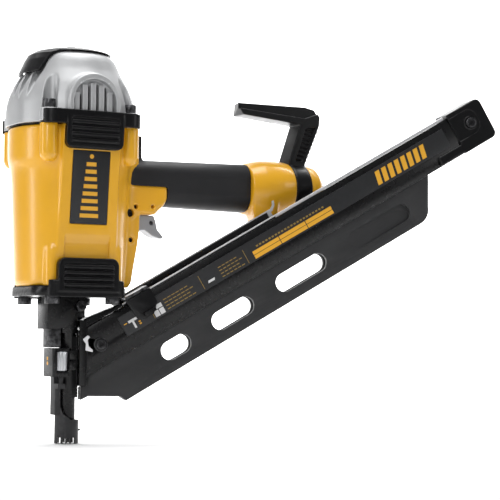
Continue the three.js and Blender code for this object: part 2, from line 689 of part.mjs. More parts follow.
function endCap() {
  const [a0, a1] = [RAIL_A[0] + GAP, RAIL_A[1]];
  const shell = plateXZ(roundedRect((a1 - a0) / 2, 21.3, 4.5, (a0 + a1) / 2, 65), -14.6, 14.6);
  const squareFront = box(a0, a0 + 10, -14.6, 14.6, 43.7, 86.3);
  const boltHole = pin(500, 67.8, 2.5, -20, -6);
  return cut(join(shell, squareFront), boltHole, box(a0 - 1, a0 + 6, -HEAD_HALF, HEAD_HALF, 50, 80));
}

function endCapScrew() {
  const head = cut(pin(500, 67.8, 5, -17, -14.9), pin(500, 67.8, 2.3, -18, -16, 6));
  return join(head, pin(500, 67.8, 2.1, -15, -7, 12));
}

function rearBracket() {
  const plate = plateXZ([[186, 188], [206, 199], [206, 214], [186, 214]], 14.2, 17.3);
  return cut(plate, pin(196, 207, 2.6, 0, 30));
}

function rearBracketBolt() {
  return pin(196, 207, 2.2, 14.6, 34);
}

function follower() {
  const blade = box(112, 134, -2.2, 2.2, 46, 79.2);
  const heads = box(112, 134, -4.8, 4.8, 76.6, 79.4);
  const neck = box(112, 134, -2.2, 2.2, 79, 88);
  const saddle = box(111, 135, -15.4, 6, 86.9, 89.8);
  return join(blade, heads, neck, saddle);
}

function followerLatch() {
  const side = plateXZ([
    [110, 86.6], [112, 67], [118, 63.5], [128, 64], [136, 72], [136, 86.6],
  ], -17.2, -14.6);
  const thumb = box(119, 131, -22, -17, 66, 69);
  return join(side, thumb, box(111, 135, -17.2, -10.6, 84.2, 86.6));
}

// ---------------------------------------------------------------- assembly
add('housing', housing(), 'yellow');
add('cylinder_cap', cylinderCap(), 'silver');
const gasketRing = join(
  common(plateXY(roundedRect(56.4, 55, 26), 288.8, 289.9), post(0, 0, 57, 288, 291, 36)),
  ...QUARTERS.map(([sx, sy]) => post(sx * CAP_SCREW[0], sy * CAP_SCREW[1], LUG_R - 0.7, 288.8, 289.9)),
);
add('cap_gasket', cut(
  gasketRing,
  post(0, 0, 46, 288, 291, 32),
  ...QUARTERS.map(([sx, sy]) => post(sx * CAP_SCREW[0], sy * CAP_SCREW[1], 3.1, 288, 291, 12)),
), 'rubber');
QUARTERS.forEach(([sx, sy], i) => {
  const screw = socketScrew(sx * CAP_SCREW[0], sy * CAP_SCREW[1], 302 + GAP, 5.9, 7.6, 2.8, 32);
  add(`cap_screw_${i + 1}`, screw, 'darkSteel');
});
QUARTERS.forEach(([sx, sy], i) => {
  const bolt = socketScrew(sx * NOSE_BOLT[0], sy * NOSE_BOLT[1], 0, 6.6, 7, 3, 20);
  add(`flange_bolt_${i + 1}`, bolt.rotateX(Math.PI).translate(0, 0, FLANGE_Z[0] - GAP), 'darkSteel');
});
for (const [name, side] of SIDES) {
  add(`upper_bumper_${name}`, upperBumper(side), 'rubber');
  add(`lower_bumper_${name}`, lowerBumper(side), 'rubber');
  add(`nameplate_${name}`, nameplate(side), 'label');
  add(`guide_bolt_${name}`, sideBolt(side), 'darkSteel');
  add(`label_panel_${name}`, labelPanel(side), 'label', tilted);
}
add('grip_sleeve', gripSleeve(), 'rubber');
add('exhaust_deflector', exhaustDeflector(), 'black');
add('deflector_bolt', socketScrew(0, 0, CAP_Z[1] + 2.5, 5, 1.6, 2.2, 16), 'darkSteel');
add('head_valve', headValve(), 'castGrey');
add('head_valve_spring', helix(0, 0, 18, 1.1, 309, 333.4, 5), 'steel');
add('cylinder_sleeve', ring(CYLINDER_R, 35.8, 143.8, 286, 32), 'castGrey');
add('piston', piston(), 'castGrey');
add('piston_ring', ring(28.4, 31.4, 275.4, 278.6, 40), 'rubber');
add('driver_blade', post(0, 0, DRIVER_R, 100, 277.6, 12), 'steel');
add('driver_bumper', ring(9, 31.4, 143.8, 165, 40), 'rubber');
add('flange_gasket', cut(
  plateXY(roundedRect(45, 45, 24), FLANGE_Z[1] + GAP, HOUSING_Z[0] - GAP),
  post(0, 0, 37, 140, 146, 32),
  ...QUARTERS.map(([sx, sy]) => post(sx * NOSE_BOLT[0], sy * NOSE_BOLT[1], 3.4, 140, 146, 12)),
), 'rubber');
add('nose_guide', noseGuide(), 'black');
add('guide_cover', guideCover(), 'plate');
add('upper_contact_arm', upperContactArm(), 'darkSteel');
add('contact_spring', helix(-13.4, 0, 3, 0.6, 105.2, 130.6, 7), 'steel');
add('depth_frame', depthFrame(), 'black');
add('depth_wheel', depthWheel(), 'steel');
add('contact_foot', contactFoot(), 'plate');
add('trigger', trigger(), 'castGrey');
add('trip_lever', tripLever(), 'steel');
add('trip_pin', pin(...TRIP_PIVOT, 1.8, -7.4, 7.4, 12), 'darkSteel');
add('trigger_pin', pin(...TRIGGER_PIVOT, 1.8, -13.6, 13.6, 12), 'darkSteel');
add('trigger_valve_body', valveBody(), 'castGrey');
add('valve_stem', post(STEM_X, 0, 2.1, 210.1, 234, 12), 'steel');
add('rafter_hook', hook(), 'black');
add('handle_end_cap', handleEndCap(), 'yellow');
add('air_inlet', airInlet(), 'steel');
add('magazine_rail', magazineRail(), 'black', tilted);
add('lower_guide', lowerGuide(), 'plate', tilted);
add('front_bracket', frontBracket(), 'black', tilted);
add('front_bracket_bolt', frontBracketBolt(), 'darkSteel', tilted);
add('rail_strip_near', box(108, 478, -10.2, -7.4, RAIL_TOP + GAP, 86), 'steel', tilted);
add('rail_strip_far', farRailStrip(), 'steel', tilted);
add('magazine_end_cap', endCap(), 'black', tilted);
add('end_cap_screw', endCapScrew(), 'darkSteel', tilted);
add('rear_bracket', rearBracket(), 'black', yawed);
add('rear_bracket_bolt', rearBracketBolt(), 'darkSteel', yawed);
add('follower', follower(), 'darkSteel', tilted);
add('follower_latch', followerLatch(), 'black', tilted);

export default group;
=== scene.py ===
"""Looks for a pneumatic framing nail gun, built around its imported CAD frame.

Cast and moulded pieces are modelled as distance fields, in mm, and skinned to smooth meshes.
Machined and folded pieces keep their CAD solids, with broken edges and detailed finishes.
"""
import json
import math

import bmesh
import bpy
import numpy as np
from mathutils import Matrix, Vector


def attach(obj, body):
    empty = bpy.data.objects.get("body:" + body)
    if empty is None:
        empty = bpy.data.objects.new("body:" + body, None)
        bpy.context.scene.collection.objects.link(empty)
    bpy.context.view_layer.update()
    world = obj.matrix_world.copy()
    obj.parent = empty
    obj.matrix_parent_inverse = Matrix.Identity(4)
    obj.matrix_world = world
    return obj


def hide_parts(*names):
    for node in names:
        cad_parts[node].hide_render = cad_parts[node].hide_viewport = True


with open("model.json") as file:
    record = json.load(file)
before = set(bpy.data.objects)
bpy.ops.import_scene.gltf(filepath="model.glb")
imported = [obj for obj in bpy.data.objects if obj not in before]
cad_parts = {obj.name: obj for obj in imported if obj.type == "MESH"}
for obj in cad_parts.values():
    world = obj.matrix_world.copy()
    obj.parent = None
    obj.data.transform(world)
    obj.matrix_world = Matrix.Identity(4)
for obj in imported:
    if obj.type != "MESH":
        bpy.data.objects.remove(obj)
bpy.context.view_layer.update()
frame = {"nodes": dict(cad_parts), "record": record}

MM = 0.001
FAR = 30.0
CORNERS = [np.array([i, j, k]) for i in (0, 1) for j in (0, 1) for k in (0, 1)]

# Dimensions shared with the CAD part, in mm.
GAP = 0.3
CLEAR = 0.35
HOUSING_Z = (143.5, 288.5)
CAP_Z = (290.2, 362.5)
CAP_SCREW = (39.5, 45.5)
NOSE_BOLT = (29.5, 34.0)
LUG_R = 8.2
HANDLE_Z = 243.5
GRIP_X = (53.2, 181.2)
BULGE_X = (181.5, 228.0)
HOOK_X = (228.3, 246.0)
HANDLE_END_X = 246.3
TRIGGER_PIVOT = (59.7, 219.5)
TRIP_PIVOT = (80.2, 205.7)
STEM_X = 74.5
UPPER_PIN = (53.8, 213.5)
LOWER_PIN = (55.2, 188.3)
YOKE_PIN = (77, 220.2)
TILT = math.radians(30.5)
CANT = math.radians(12)
RAIL_END = 480.0
QUARTERS = [(-1, -1), (1, -1), (1, 1), (-1, 1)]

YAWED = Matrix.Rotation(-CANT, 3, "Z")
TILTED = YAWED @ Matrix.Rotation(-TILT, 3, "Y")
FRONT_FACE = Matrix.Rotation(math.radians(-90), 3, "Z")


# ---------------------------------------------------------------- distance shapes
def blended(a, b, reach):
    """Smaller of two distances, with a fillet of about 0.85 reach where they meet."""
    if reach <= 0:
        return np.minimum(a, b)
    near = np.maximum(reach - np.abs(a - b), 0) / reach
    return np.minimum(a, b) - near * near * reach / 4


class Shape:
    """A signed distance, negative inside, and the box that it lies in."""

    def __init__(self, distance, low, high):
        self.distance = distance
        self.low = np.array(low, float)
        self.high = np.array(high, float)

    def __sub__(self, other):
        return Shape(lambda *c: np.maximum(self.distance(*c), -other.distance(*c)), self.low, self.high)

    def __and__(self, other):
        return Shape(lambda *c: np.maximum(self.distance(*c), other.distance(*c)), self.low, self.high)

    def flipped(self):
        low, high = self.low.copy(), self.high.copy()
        low[1], high[1] = -self.high[1], -self.low[1]
        return Shape(lambda x, y, z: self.distance(x, -y, z), low, high)

    def sided(self, side):
        return self if side > 0 else self.flipped()

    def placed(self, matrix):
        m = np.array(matrix)
        ends = np.array([[(self.low, self.high)[c[i]][i] for i in range(3)] for c in CORNERS]) @ m.T

        def distance(x, y, z):
            return self.distance(*(m[0, i] * x + m[1, i] * y + m[2, i] * z for i in range(3)))

        return Shape(distance, ends.min(0), ends.max(0))


def outline_distance(points, u, v):
    """Signed distance to a closed polygon, negative inside."""
    points = np.asarray(points, np.float32)
    shape = np.broadcast(u, v).shape
    nearest = np.full(shape, np.inf, np.float32)
    inside = np.zeros(shape, bool)
    for (u0, v0), (u1, v1) in zip(points, np.roll(points, -1, axis=0)):
        du, dv = u1 - u0, v1 - v0
        t = np.clip(((u - u0) * du + (v - v0) * dv) / max(du * du + dv * dv, 1e-9), 0, 1)
        nearest = np.minimum(nearest, (u - u0 - t * du) ** 2 + (v - v0 - t * dv) ** 2)
        if dv:
            inside ^= ((v0 > v) != (v1 > v)) & (u < u0 + (v - v0) * du / dv)
    return np.where(inside, -1, 1).astype(np.float32) * np.sqrt(nearest)


def softened(points, radius, steps=4):
    """Polygon with each corner replaced by a short curve."""
    points = np.array(points, float)
    out = []
    for i, corner in enumerate(points):
        before, after = points[i - 1] - corner, points[(i + 1) % len(points)] - corner
        lb, la = np.hypot(*before), np.hypot(*after)
        back = corner + before / lb * min(radius, 0.45 * lb)
        on = corner + after / la * min(radius, 0.45 * la)
        for t in np.linspace(0, 1, steps):
            out.append(back * (1 - t) ** 2 + corner * 2 * t * (1 - t) + on * t * t)
    return np.array(out)


def prism(points, normal, span, edge=0.0):
    """Outline in the two other coordinates, thick over span along one axis, with rounded edges."""
    points = np.array(points, float)
    a, b = [i for i in range(3) if i != normal]
    middle, half = (span[0] + span[1]) / 2, (span[1] - span[0]) / 2

    def distance(*c):
        across = outline_distance(points, c[a], c[b]) + edge
        along = np.abs(c[normal] - middle) - half + edge
        outer = np.hypot(np.maximum(across, 0), np.maximum(along, 0))
        return np.minimum(np.maximum(across, along), 0) + outer - edge

    low, high = np.zeros(3), np.zeros(3)
    low[[a, b]], high[[a, b]] = points.min(0), points.max(0)
    low[normal], high[normal] = span
    return Shape(distance, low, high)


def block(low, high, edge=0.0):
    low, high = np.array(low, float), np.array(high, float)
    middle, half = (low + high) / 2, (high - low) / 2 - edge

    def distance(*c):
        q = [np.abs(c[i] - middle[i]) - half[i] for i in range(3)]
        outer = np.sqrt(sum(np.maximum(value, 0) ** 2 for value in q))
        return outer + np.minimum(np.maximum(np.maximum(q[0], q[1]), q[2]), 0) - edge

    return Shape(distance, low, high)


def rounded(half_u, half_v, radius, cu=0.0, cv=0.0, steps=10):
    points = []
    for su, sv, start in ((1, -1, -90), (1, 1, 0), (-1, 1, 90), (-1, -1, 180)):
        for k in range(steps):
            angle = math.radians(start + 90 * k / (steps - 1))
            points.append((cu + su * (half_u - radius) + radius * math.cos(angle),
                           cv + sv * (half_v - radius) + radius * math.sin(angle)))
    return points


def turned(profile, axis, centre=(0.0, 0.0), closed=False):
    """Profile of (radius, height) pairs turned about a line along one axis. A closed profile is a ring's."""
    profile = np.array(profile, float)
    if not closed:
        profile = np.vstack([profile, profile[::-1] * [-1, 1]])
    a, b = [i for i in range(3) if i != axis]
    pitch = 0.2

    def distance(*c):
        radius = np.squeeze(np.hypot(c[a] - centre[0], c[b] - centre[1]), axis=axis)
        radii = np.arange(0, radius.max() + 2 * pitch, pitch, dtype=np.float32)
        table = outline_distance(profile, radii[:, None], c[axis].reshape(1, -1))
        whole = np.minimum((radius / pitch).astype(int), len(radii) - 2)
        part = (radius / pitch - whole)[..., None].astype(np.float32)
        return np.moveaxis(table[whole] * (1 - part) + table[whole + 1] * part, 2, axis)

    reach = np.abs(profile[:, 0]).max()
    low, high = np.zeros(3), np.zeros(3)
    low[[a, b]], high[[a, b]] = np.array(centre) - reach, np.array(centre) + reach
    low[axis], high[axis] = profile[:, 1].min(), profile[:, 1].max()
    return Shape(distance, low, high)


def rod(axis, centre, radius, span, edge=0.0):
    """Straight round bar along one axis, with rounded ends."""
    a, b = [i for i in range(3) if i != axis]
    middle, half = (span[0] + span[1]) / 2, (span[1] - span[0]) / 2

    def distance(*c):
        across = np.hypot(c[a] - centre[0], c[b] - centre[1]) - radius + edge
        along = np.abs(c[axis] - middle) - half + edge
        outer = np.hypot(np.maximum(across, 0), np.maximum(along, 0))
        return np.minimum(np.maximum(across, along), 0) + outer - edge

    low, high = np.zeros(3), np.zeros(3)
    low[[a, b]], high[[a, b]] = np.array(centre) - radius, np.array(centre) + radius
    low[axis], high[axis] = span
    return Shape(distance, low, high)


def capsule(start, end, r0, r1=None):
    """Round-ended bar from start to end, tapering from r0 to r1."""
    r1 = r0 if r1 is None else r1
    start, end = np.array(start, float), np.array(end, float)
    d = end - start

    def distance(x, y, z):
        p = (x - start[0], y - start[1], z - start[2])
        t = np.clip((p[0] * d[0] + p[1] * d[1] + p[2] * d[2]) / (d @ d), 0, 1)
        return np.sqrt(sum((p[i] - t * d[i]) ** 2 for i in range(3))) - (r0 + (r1 - r0) * t)

    reach = max(r0, r1)
    return Shape(distance, np.minimum(start, end) - reach, np.maximum(start, end) + reach)


# ---------------------------------------------------------------- from field to mesh
class Field:
    """Distances on a grid that shapes are joined to and cut from."""

    def __init__(self, low, high, step):
        self.step = step
        self.low = np.array(low, float) - 2.5 * step
        counts = np.ceil((np.array(high) + 2.5 * step - self.low) / step).astype(int) + 1
        self.axes = [(self.low[i] + step * np.arange(counts[i])).astype(np.float32) for i in range(3)]
        self.d = np.full(counts, FAR, np.float32)

    def window(self, shape, reach):
        pad = reach + 4 * self.step
        cut = []
        for axis, low, high in zip(self.axes, shape.low, shape.high):
            cut.append(slice(*np.searchsorted(axis, (low - pad, high + pad))))
        grids = np.meshgrid(*(axis[c] for axis, c in zip(self.axes, cut)), indexing="ij", sparse=True)
        return tuple(cut), grids

    def add(self, shape, reach=0.0):
        cut, grids = self.window(shape, reach)
        if self.d[cut].size:
            self.d[cut] = blended(self.d[cut], shape.distance(*grids), reach)
        return self

    def cut(self, shape, reach=0.0):
        cut, grids = self.window(shape, reach)
        if self.d[cut].size:
            self.d[cut] = -blended(-self.d[cut], shape.distance(*grids), reach)
        return self

    def keep(self, shape, reach=0.0):
        grids = np.meshgrid(*self.axes, indexing="ij", sparse=True)
        self.d = -blended(-self.d, -shape.distance(*grids), reach)
        return self

    def piece(self, name, finish, body, replaced=(), share=0.5, matrix=None):
        """Skins the field, thins the mesh to a share of its faces, and puts it on its body."""
        points, quads = skin(self.d, self.step)
        points = (self.low + points * self.step) @ np.array(matrix or Matrix.Identity(3)).T
        mesh = bpy.data.meshes.new(name)
        mesh.vertices.add(len(points))
        mesh.vertices.foreach_set("co", (points * MM).astype(np.float32).ravel())
        mesh.loops.add(4 * len(quads))
        mesh.loops.foreach_set("vertex_index", quads.astype(np.int32).ravel())
        mesh.polygons.add(len(quads))
        mesh.polygons.foreach_set("loop_start", 4 * np.arange(len(quads), dtype=np.int32))
        mesh.update(calc_edges=True)
        mesh.validate()
        mesh.shade_smooth()
        piece = placed_piece(name, mesh, finish, body, replaced)
        thin = piece.modifiers.new("thin", "DECIMATE")
        thin.ratio = share
        return applied(piece)


def skin(d, step):
    """Surface nets: one point in each cell that the surface crosses, then drawn onto the surface."""
    inside = d < 0
    count = np.zeros(np.array(d.shape) - 1, np.int8)
    for c in CORNERS:
        count += inside[tuple(slice(o, o + n) for o, n in zip(c, count.shape))]
    mixed = (count > 0) & (count < 8)
    cells = np.argwhere(mixed)
    number = np.full(mixed.shape, -1, np.int64)
    number[mixed] = np.arange(len(cells))
    total, hits = np.zeros((len(cells), 3)), np.zeros(len(cells))
    quads = []
    for axis in range(3):
        unit = np.eye(3, dtype=int)[axis]
        for c in CORNERS:
            if c[axis]:
                continue
            a, b = d[tuple((cells + c).T)], d[tuple((cells + c + unit).T)]
            crossed = (a < 0) != (b < 0)
            point = (cells + c)[crossed].astype(float)
            point[:, axis] += a[crossed] / (a[crossed] - b[crossed])
            total[crossed] += point
            hits[crossed] += 1
        quads += faces_along(axis, inside, number)
    points = total / hits[:, None]
    for _ in range(3):
        value = sampled(d, points) / step
        slope = np.stack([sampled(d, points + e) - sampled(d, points - e) for e in 0.4 * np.eye(3)], 1)
        slope /= 0.8 * step
        move = slope * (value / np.maximum((slope ** 2).sum(1), 0.3))[:, None]
        points -= np.clip(move, -0.4, 0.4)
    return points, np.vstack(quads)


def faces_along(axis, inside, number):
    u, v = (axis + 1) % 3, (axis + 2) % 3
    near, far = [slice(1, -1)] * 3, [slice(1, -1)] * 3
    near[axis], far[axis] = slice(0, -1), slice(1, None)
    a, b = inside[tuple(near)], inside[tuple(far)]
    quads = []
    for leaves, order in ((a & ~b, (0, 1, 2, 3)), (~a & b, (3, 2, 1, 0))):
        at = np.argwhere(leaves)
        at[:, u] += 1
        at[:, v] += 1
        ring = []
        for du, dv in ((1, 1), (0, 1), (0, 0), (1, 0)):
            cell = at.copy()
            cell[:, u] -= du
            cell[:, v] -= dv
            ring.append(number[tuple(cell.T)])
        quads.append(np.stack([ring[k] for k in order], 1))
    return quads


def sampled(d, points):
    """Trilinear value of a grid at points in grid units."""
    whole = np.clip(np.floor(points).astype(int), 0, np.array(d.shape) - 2)
    part = points - whole
    value = np.zeros(len(points))
    for c in CORNERS:
        weight = np.prod(np.where(c, part, 1 - part), axis=1)
        value += weight * d[tuple((whole + c).T)]
    return value


def placed_piece(name, mesh, finish, body, replaced=()):
    piece = bpy.data.objects.new(name, mesh)
    bpy.context.scene.collection.objects.link(piece)
    mesh.materials.append(FINISHES[finish])
    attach(piece, body)
    if replaced:
        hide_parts(*replaced)
    return piece


def applied(piece):
    """Bakes the modifiers into the mesh."""
    graph = bpy.context.evaluated_depsgraph_get()
    mesh = bpy.data.meshes.new_from_object(piece.evaluated_get(graph))
    piece.modifiers.clear()
    piece.data = mesh
    return piece


# ---------------------------------------------------------------- finishes
class Nodes:
    """Short forms for building a material's nodes."""

    def __init__(self, name):
        self.material = bpy.data.materials.new(name)
        self.material.use_nodes = True
        self.tree = self.material.node_tree
        self.shader = self.tree.nodes["Principled BSDF"]
        self.place = self.tree.nodes.new("ShaderNodeTexCoord").outputs["Object"]

    def node(self, kind, **values):
        node = self.tree.nodes.new(kind)
        for key, value in values.items():
            if key in node.inputs:
                self.put(node.inputs[key], value)
            else:
                setattr(node, key, value)
        return node

    def put(self, socket, value):
        if isinstance(value, bpy.types.NodeSocket):
            self.tree.links.new(value, socket)
        else:
            socket.default_value = value

    def noise(self, scale, detail=3.0, rough=0.5, stretch=(1, 1, 1)):
        """Noise with so many cells to the metre."""
        mapped = self.node("ShaderNodeMapping", Scale=stretch, Vector=self.place)
        noise = self.node("ShaderNodeTexNoise", Scale=scale, Detail=detail, Roughness=rough,
                          Vector=mapped.outputs[0])
        return noise.outputs["Fac"]

    def ramp(self, value, low, high, a=0.0, b=1.0):
        node = self.node("ShaderNodeMapRange", Value=value)
        for key, number in (("From Min", low), ("From Max", high), ("To Min", a), ("To Max", b)):
            node.inputs[key].default_value = number
        return node.outputs[0]

    def mix(self, fac, a, b):
        node = self.tree.nodes.new("ShaderNodeMix")
        node.data_type = "RGBA"
        self.put(node.inputs[0], fac)
        self.put(node.inputs[6], a)
        self.put(node.inputs[7], b)
        return node.outputs[2]

    def edges(self, low=0.52, high=0.60):
        """1 along convex edges, 0 on flats."""
        pointed = self.tree.nodes.new("ShaderNodeNewGeometry").outputs["Pointiness"]
        return self.ramp(pointed, low, high)

    def times(self, a, b):
        node = self.node("ShaderNodeMath", operation="MULTIPLY")
        self.put(node.inputs[0], a)
        self.put(node.inputs[1], b)
        return node.outputs[0]

    def bump(self, height, distance, strength=1.0, under=None):
        node = self.node("ShaderNodeBump", Distance=distance, Strength=strength, Height=height)
        if under is not None:
            self.put(node.inputs["Normal"], under)
        return node.outputs[0]

    def shade(self, **values):
        for key, value in values.items():
            self.put(self.shader.inputs[key.replace("_", " ")], value)
        return self.material


def rgb(r, g, b):
    return (r, g, b, 1.0)


def grained(name, colour, wear_and_highlight, roughness, metallic, grain, depth,
            wear=0.5, coat=0.0, mottle=0.08, specular=0.5):
    """Finish with a fine grain, a slow mottle in colour and gloss, and edges rubbed to a second colour."""
    n = Nodes(name)
    slow = n.noise(35, 4)
    fine = n.noise(grain, 2)
    dark = tuple(c * (1 - mottle) for c in colour[:3]) + (1.0,)
    light = tuple(min(1, c * (1 + mottle)) for c in colour[:3]) + (1.0,)
    base = n.mix(n.ramp(slow, 0.3, 0.7), dark, light)
    scuffed = n.times(n.edges(), n.times(n.ramp(n.noise(260, 5), 0.35, 0.65), wear))
    gloss = n.ramp(n.noise(90, 3), 0.3, 0.7, roughness - 0.02, roughness + 0.03)
    return n.shade(Base_Color=n.mix(scuffed, base, wear_and_highlight), Roughness=gloss, Metallic=metallic,
                   Coat_Weight=coat, Coat_Roughness=0.15, Specular_IOR_Level=specular,
                   Normal=n.bump(fine, depth * MM))


def brushed(name, colour, roughness, stretch, streak=1.0):
    """Metal with fine lines across the stretched direction."""
    n = Nodes(name)
    lines = n.noise(700, 4, 0.6, stretch)
    tone = n.mix(n.ramp(n.noise(60, 3), 0.3, 0.7), tuple(c * 0.86 for c in colour[:3]) + (1.0,), colour)
    return n.shade(Base_Color=tone, Metallic=1.0, Normal=n.bump(lines, 0.02 * MM * streak),
                   Roughness=n.ramp(lines, 0.3, 0.7, roughness - 0.08, roughness + 0.1))


# Span along the magazine strip where its curled end begins; past it the strip is painted bright as a highlight.
STRIP_CURL = (277.5 * MM, 278.5 * MM)


def strip_with_painted_highlight(name, top):
    """Magazine strip, near-black on its flat sides, with a painted highlight along its upper edge and over its
    curled end.
    """
    n = Nodes(name)
    edge = n.node("ShaderNodeMath", operation="MAXIMUM")
    for socket, axis, span in ((0, 2, ((top - 1.3) * MM, (top - 1.0) * MM)), (1, 0, STRIP_CURL)):
        along = n.node("ShaderNodeVectorMath", operation="DOT_PRODUCT")
        n.put(along.inputs[0], n.place)
        n.put(along.inputs[1], tuple(TILTED.col[axis]))
        n.put(edge.inputs[socket], n.ramp(along.outputs["Value"], *span))
    # Painted highlight: bright grey over the upper edge band and the whole curled end, slightly uneven, on the
    # strip's own near-black.
    wear_and_highlight = n.times(edge.outputs[0], n.ramp(n.noise(160, 4), 0.2, 0.5, 0.75, 1.0))
    tone = n.mix(wear_and_highlight, rgb(0.012, 0.012, 0.013), rgb(0.60, 0.60, 0.61))
    return n.shade(Base_Color=tone, Metallic=0.35, Normal=n.bump(n.noise(900, 3), 0.005 * MM),
                   Roughness=n.ramp(n.noise(90, 3), 0.3, 0.7, 0.26, 0.36))


FINISHES = {
    "yellow": grained("yellow_coat", rgb(0.73, 0.37, 0.012), rgb(0.88, 0.50, 0.06), 0.30, 0.0, 1100, 0.010,
                      wear=0.3, coat=0.3, mottle=0.03),
    "silver": grained("cast_silver", rgb(0.44, 0.445, 0.45), rgb(0.80, 0.80, 0.81), 0.46, 0.5, 2400, 0.02,
                      wear=0.7, mottle=0.06),
    "rubber": grained("bumper_rubber", rgb(0.0035, 0.0035, 0.004), rgb(0.015, 0.015, 0.016), 0.30, 0.0,
                      1500, 0.010, wear=0.4, mottle=0.1, specular=0.22),
    "grip": grained("grip_rubber", rgb(0.012, 0.012, 0.0135), rgb(0.03, 0.03, 0.032), 0.52, 0.0, 1700, 0.04,
                    wear=0.3, mottle=0.1, specular=0.3),
    "plastic": grained("black_plastic", rgb(0.003, 0.003, 0.0035), rgb(0.012, 0.012, 0.012), 0.32, 0.0,
                       2000, 0.012, wear=0.4, mottle=0.1, specular=0.28),
    "black": grained("black_coat", rgb(0.003, 0.003, 0.0033), rgb(0.010, 0.010, 0.0105), 0.27, 0.0, 1300, 0.006,
                     wear=0.4, mottle=0.1, specular=0.3),
    "plate": grained("charcoal_coat", rgb(0.029, 0.029, 0.030), rgb(0.05, 0.05, 0.052), 0.5, 0.0, 2300, 0.010,
                     wear=0.4, mottle=0.05, specular=0.25),
    # Both strips carry a painted highlight along the upper edge and the curled end.
    "strip_near": strip_with_painted_highlight("near_strip_steel", 86),
    "strip_far": strip_with_painted_highlight("far_strip_steel", 91.5),
    "cast": grained("grey_cast", rgb(0.36, 0.365, 0.38), rgb(0.65, 0.66, 0.68), 0.42, 0.7, 1800, 0.03,
                    wear=0.7, mottle=0.1),
    "steel": brushed("bright_steel", rgb(0.60, 0.61, 0.63), 0.30, (1, 1, 0.06), 0.25),
    "plain_steel": grained("ground_steel", rgb(0.80, 0.80, 0.81), rgb(0.9, 0.9, 0.9), 0.35, 0.35, 1200, 0.006,
                           wear=0.4, mottle=0.06),
    "dark": grained("black_oxide", rgb(0.012, 0.012, 0.013), rgb(0.2, 0.2, 0.21), 0.30, 0.45, 1600, 0.010,
                    wear=0.9, mottle=0.15, specular=0.4),
    "label": grained("label_film", rgb(0.016, 0.0165, 0.018), rgb(0.03, 0.03, 0.03), 0.42, 0.0, 2600, 0.004,
                     wear=0.2, mottle=0.04, specular=0.35),
    "print_yellow": grained("print_yellow", rgb(0.72, 0.36, 0.02), rgb(0.72, 0.36, 0.02), 0.5, 0.0, 2600, 0.003,
                            wear=0.1, mottle=0.04),
    "print_ochre": grained("print_ochre", rgb(0.25, 0.16, 0.03), rgb(0.25, 0.16, 0.03), 0.5, 0.0, 2600, 0.003,
                           wear=0.1, mottle=0.1),
    "print_white": grained("print_white", rgb(0.62, 0.62, 0.62), rgb(0.62, 0.62, 0.62), 0.5, 0.0, 2600, 0.003,
                           wear=0.1, mottle=0.04),
}
NODE_FINISH = {"yellow_paint": "yellow", "cast_silver": "silver", "black_rubber": "rubber",
               "black_paint": "black", "dark_plate": "plate", "black_plastic": "plastic",
               "grey_cast": "cast", "bright_steel": "steel",
               "dark_steel": "dark", "label_black": "label"}


# ---------------------------------------------------------------- housing
def panel_y(z):
    return 40 + 0.1 * (z - HOUSING_Z[0])


def panel_slab(inner, outer, half_x, z0, z1, edge=0.0):
    """Slab that follows the +Y side panel, from inner to outer beyond it."""
    points = [(panel_y(z0) + inner, z0), (panel_y(z0) + outer, z0),
              (panel_y(z1) + outer, z1), (panel_y(z1) + inner, z1)]
    return prism(points, 0, (-half_x, half_x), edge)


def housing_bosses(field):
    z0, z1 = HOUSING_Z
    for sx, sy in QUARTERS:
        cx, cy = sx * CAP_SCREW[0], sy * CAP_SCREW[1]
        field.add(capsule((cx, cy, 262), (cx, cy, z1 + 20), LUG_R), 2.4)
        bx, by = sx * NOSE_BOLT[0], sy * NOSE_BOLT[1]
        field.add(capsule((bx, by, z0 - 20), (bx, by, 175), 8), 2)


def housing_handle(field):
    z0, z1 = HOUSING_Z
    web = softened([(40, z0), (52.5, z0), (56.8, 148), (63.4, 185), (65, 199), (65, 213.5), (81, 213.5),
                    (87, 220), (92, 229), (92, 250), (63.5, 250), (63.5, z1), (40, z1)], 2.2)
    field.add(prism(web, 1, (-15.6, 15.6), 2.2), 11)
    yoke = softened([(48, 226), (50, 214), (79.5, 213.8), (81.5, 219.6), (87.5, 221), (91.4, 226.5),
                     (92, 239.2), (48, 239.2)], 4)
    field.add(prism(yoke, 1, (-17.6, 17.6), 2.4), 4)
    for (x, z), radius in ((UPPER_PIN, 6.2), (LOWER_PIN, 4.4)):
        field.add(rod(1, (x, z), radius, (-16.6, 16.6), 0.7), 1.6)
    field.add(prism(rounded(15.5, 18.5, 12, 0, HANDLE_Z), 0, (44, BULGE_X[0] + 2)), 1)
    x0, x1 = BULGE_X
    bulge = [(0, x0), (23.4, x0), (24.4, x0 + 0.8), (26.6, x0 + 7), (28.3, x0 + 15), (29, x0 + 24),
             (29, x0 + 32), (28.3, x1 - 6), (27.4, x1 - 0.8), (26.6, x1), (21.8, x1),
             (21.8, HANDLE_END_X), (0, HANDLE_END_X)]
    field.add(turned(bulge, 0, (0, HANDLE_Z)), 0)
    foot = softened([(184, 196), (207, 200), (209, 236), (184, 236)], 2)
    field.add(prism(foot, 1, (17.6, 44), 1.5).placed(YAWED), 3)


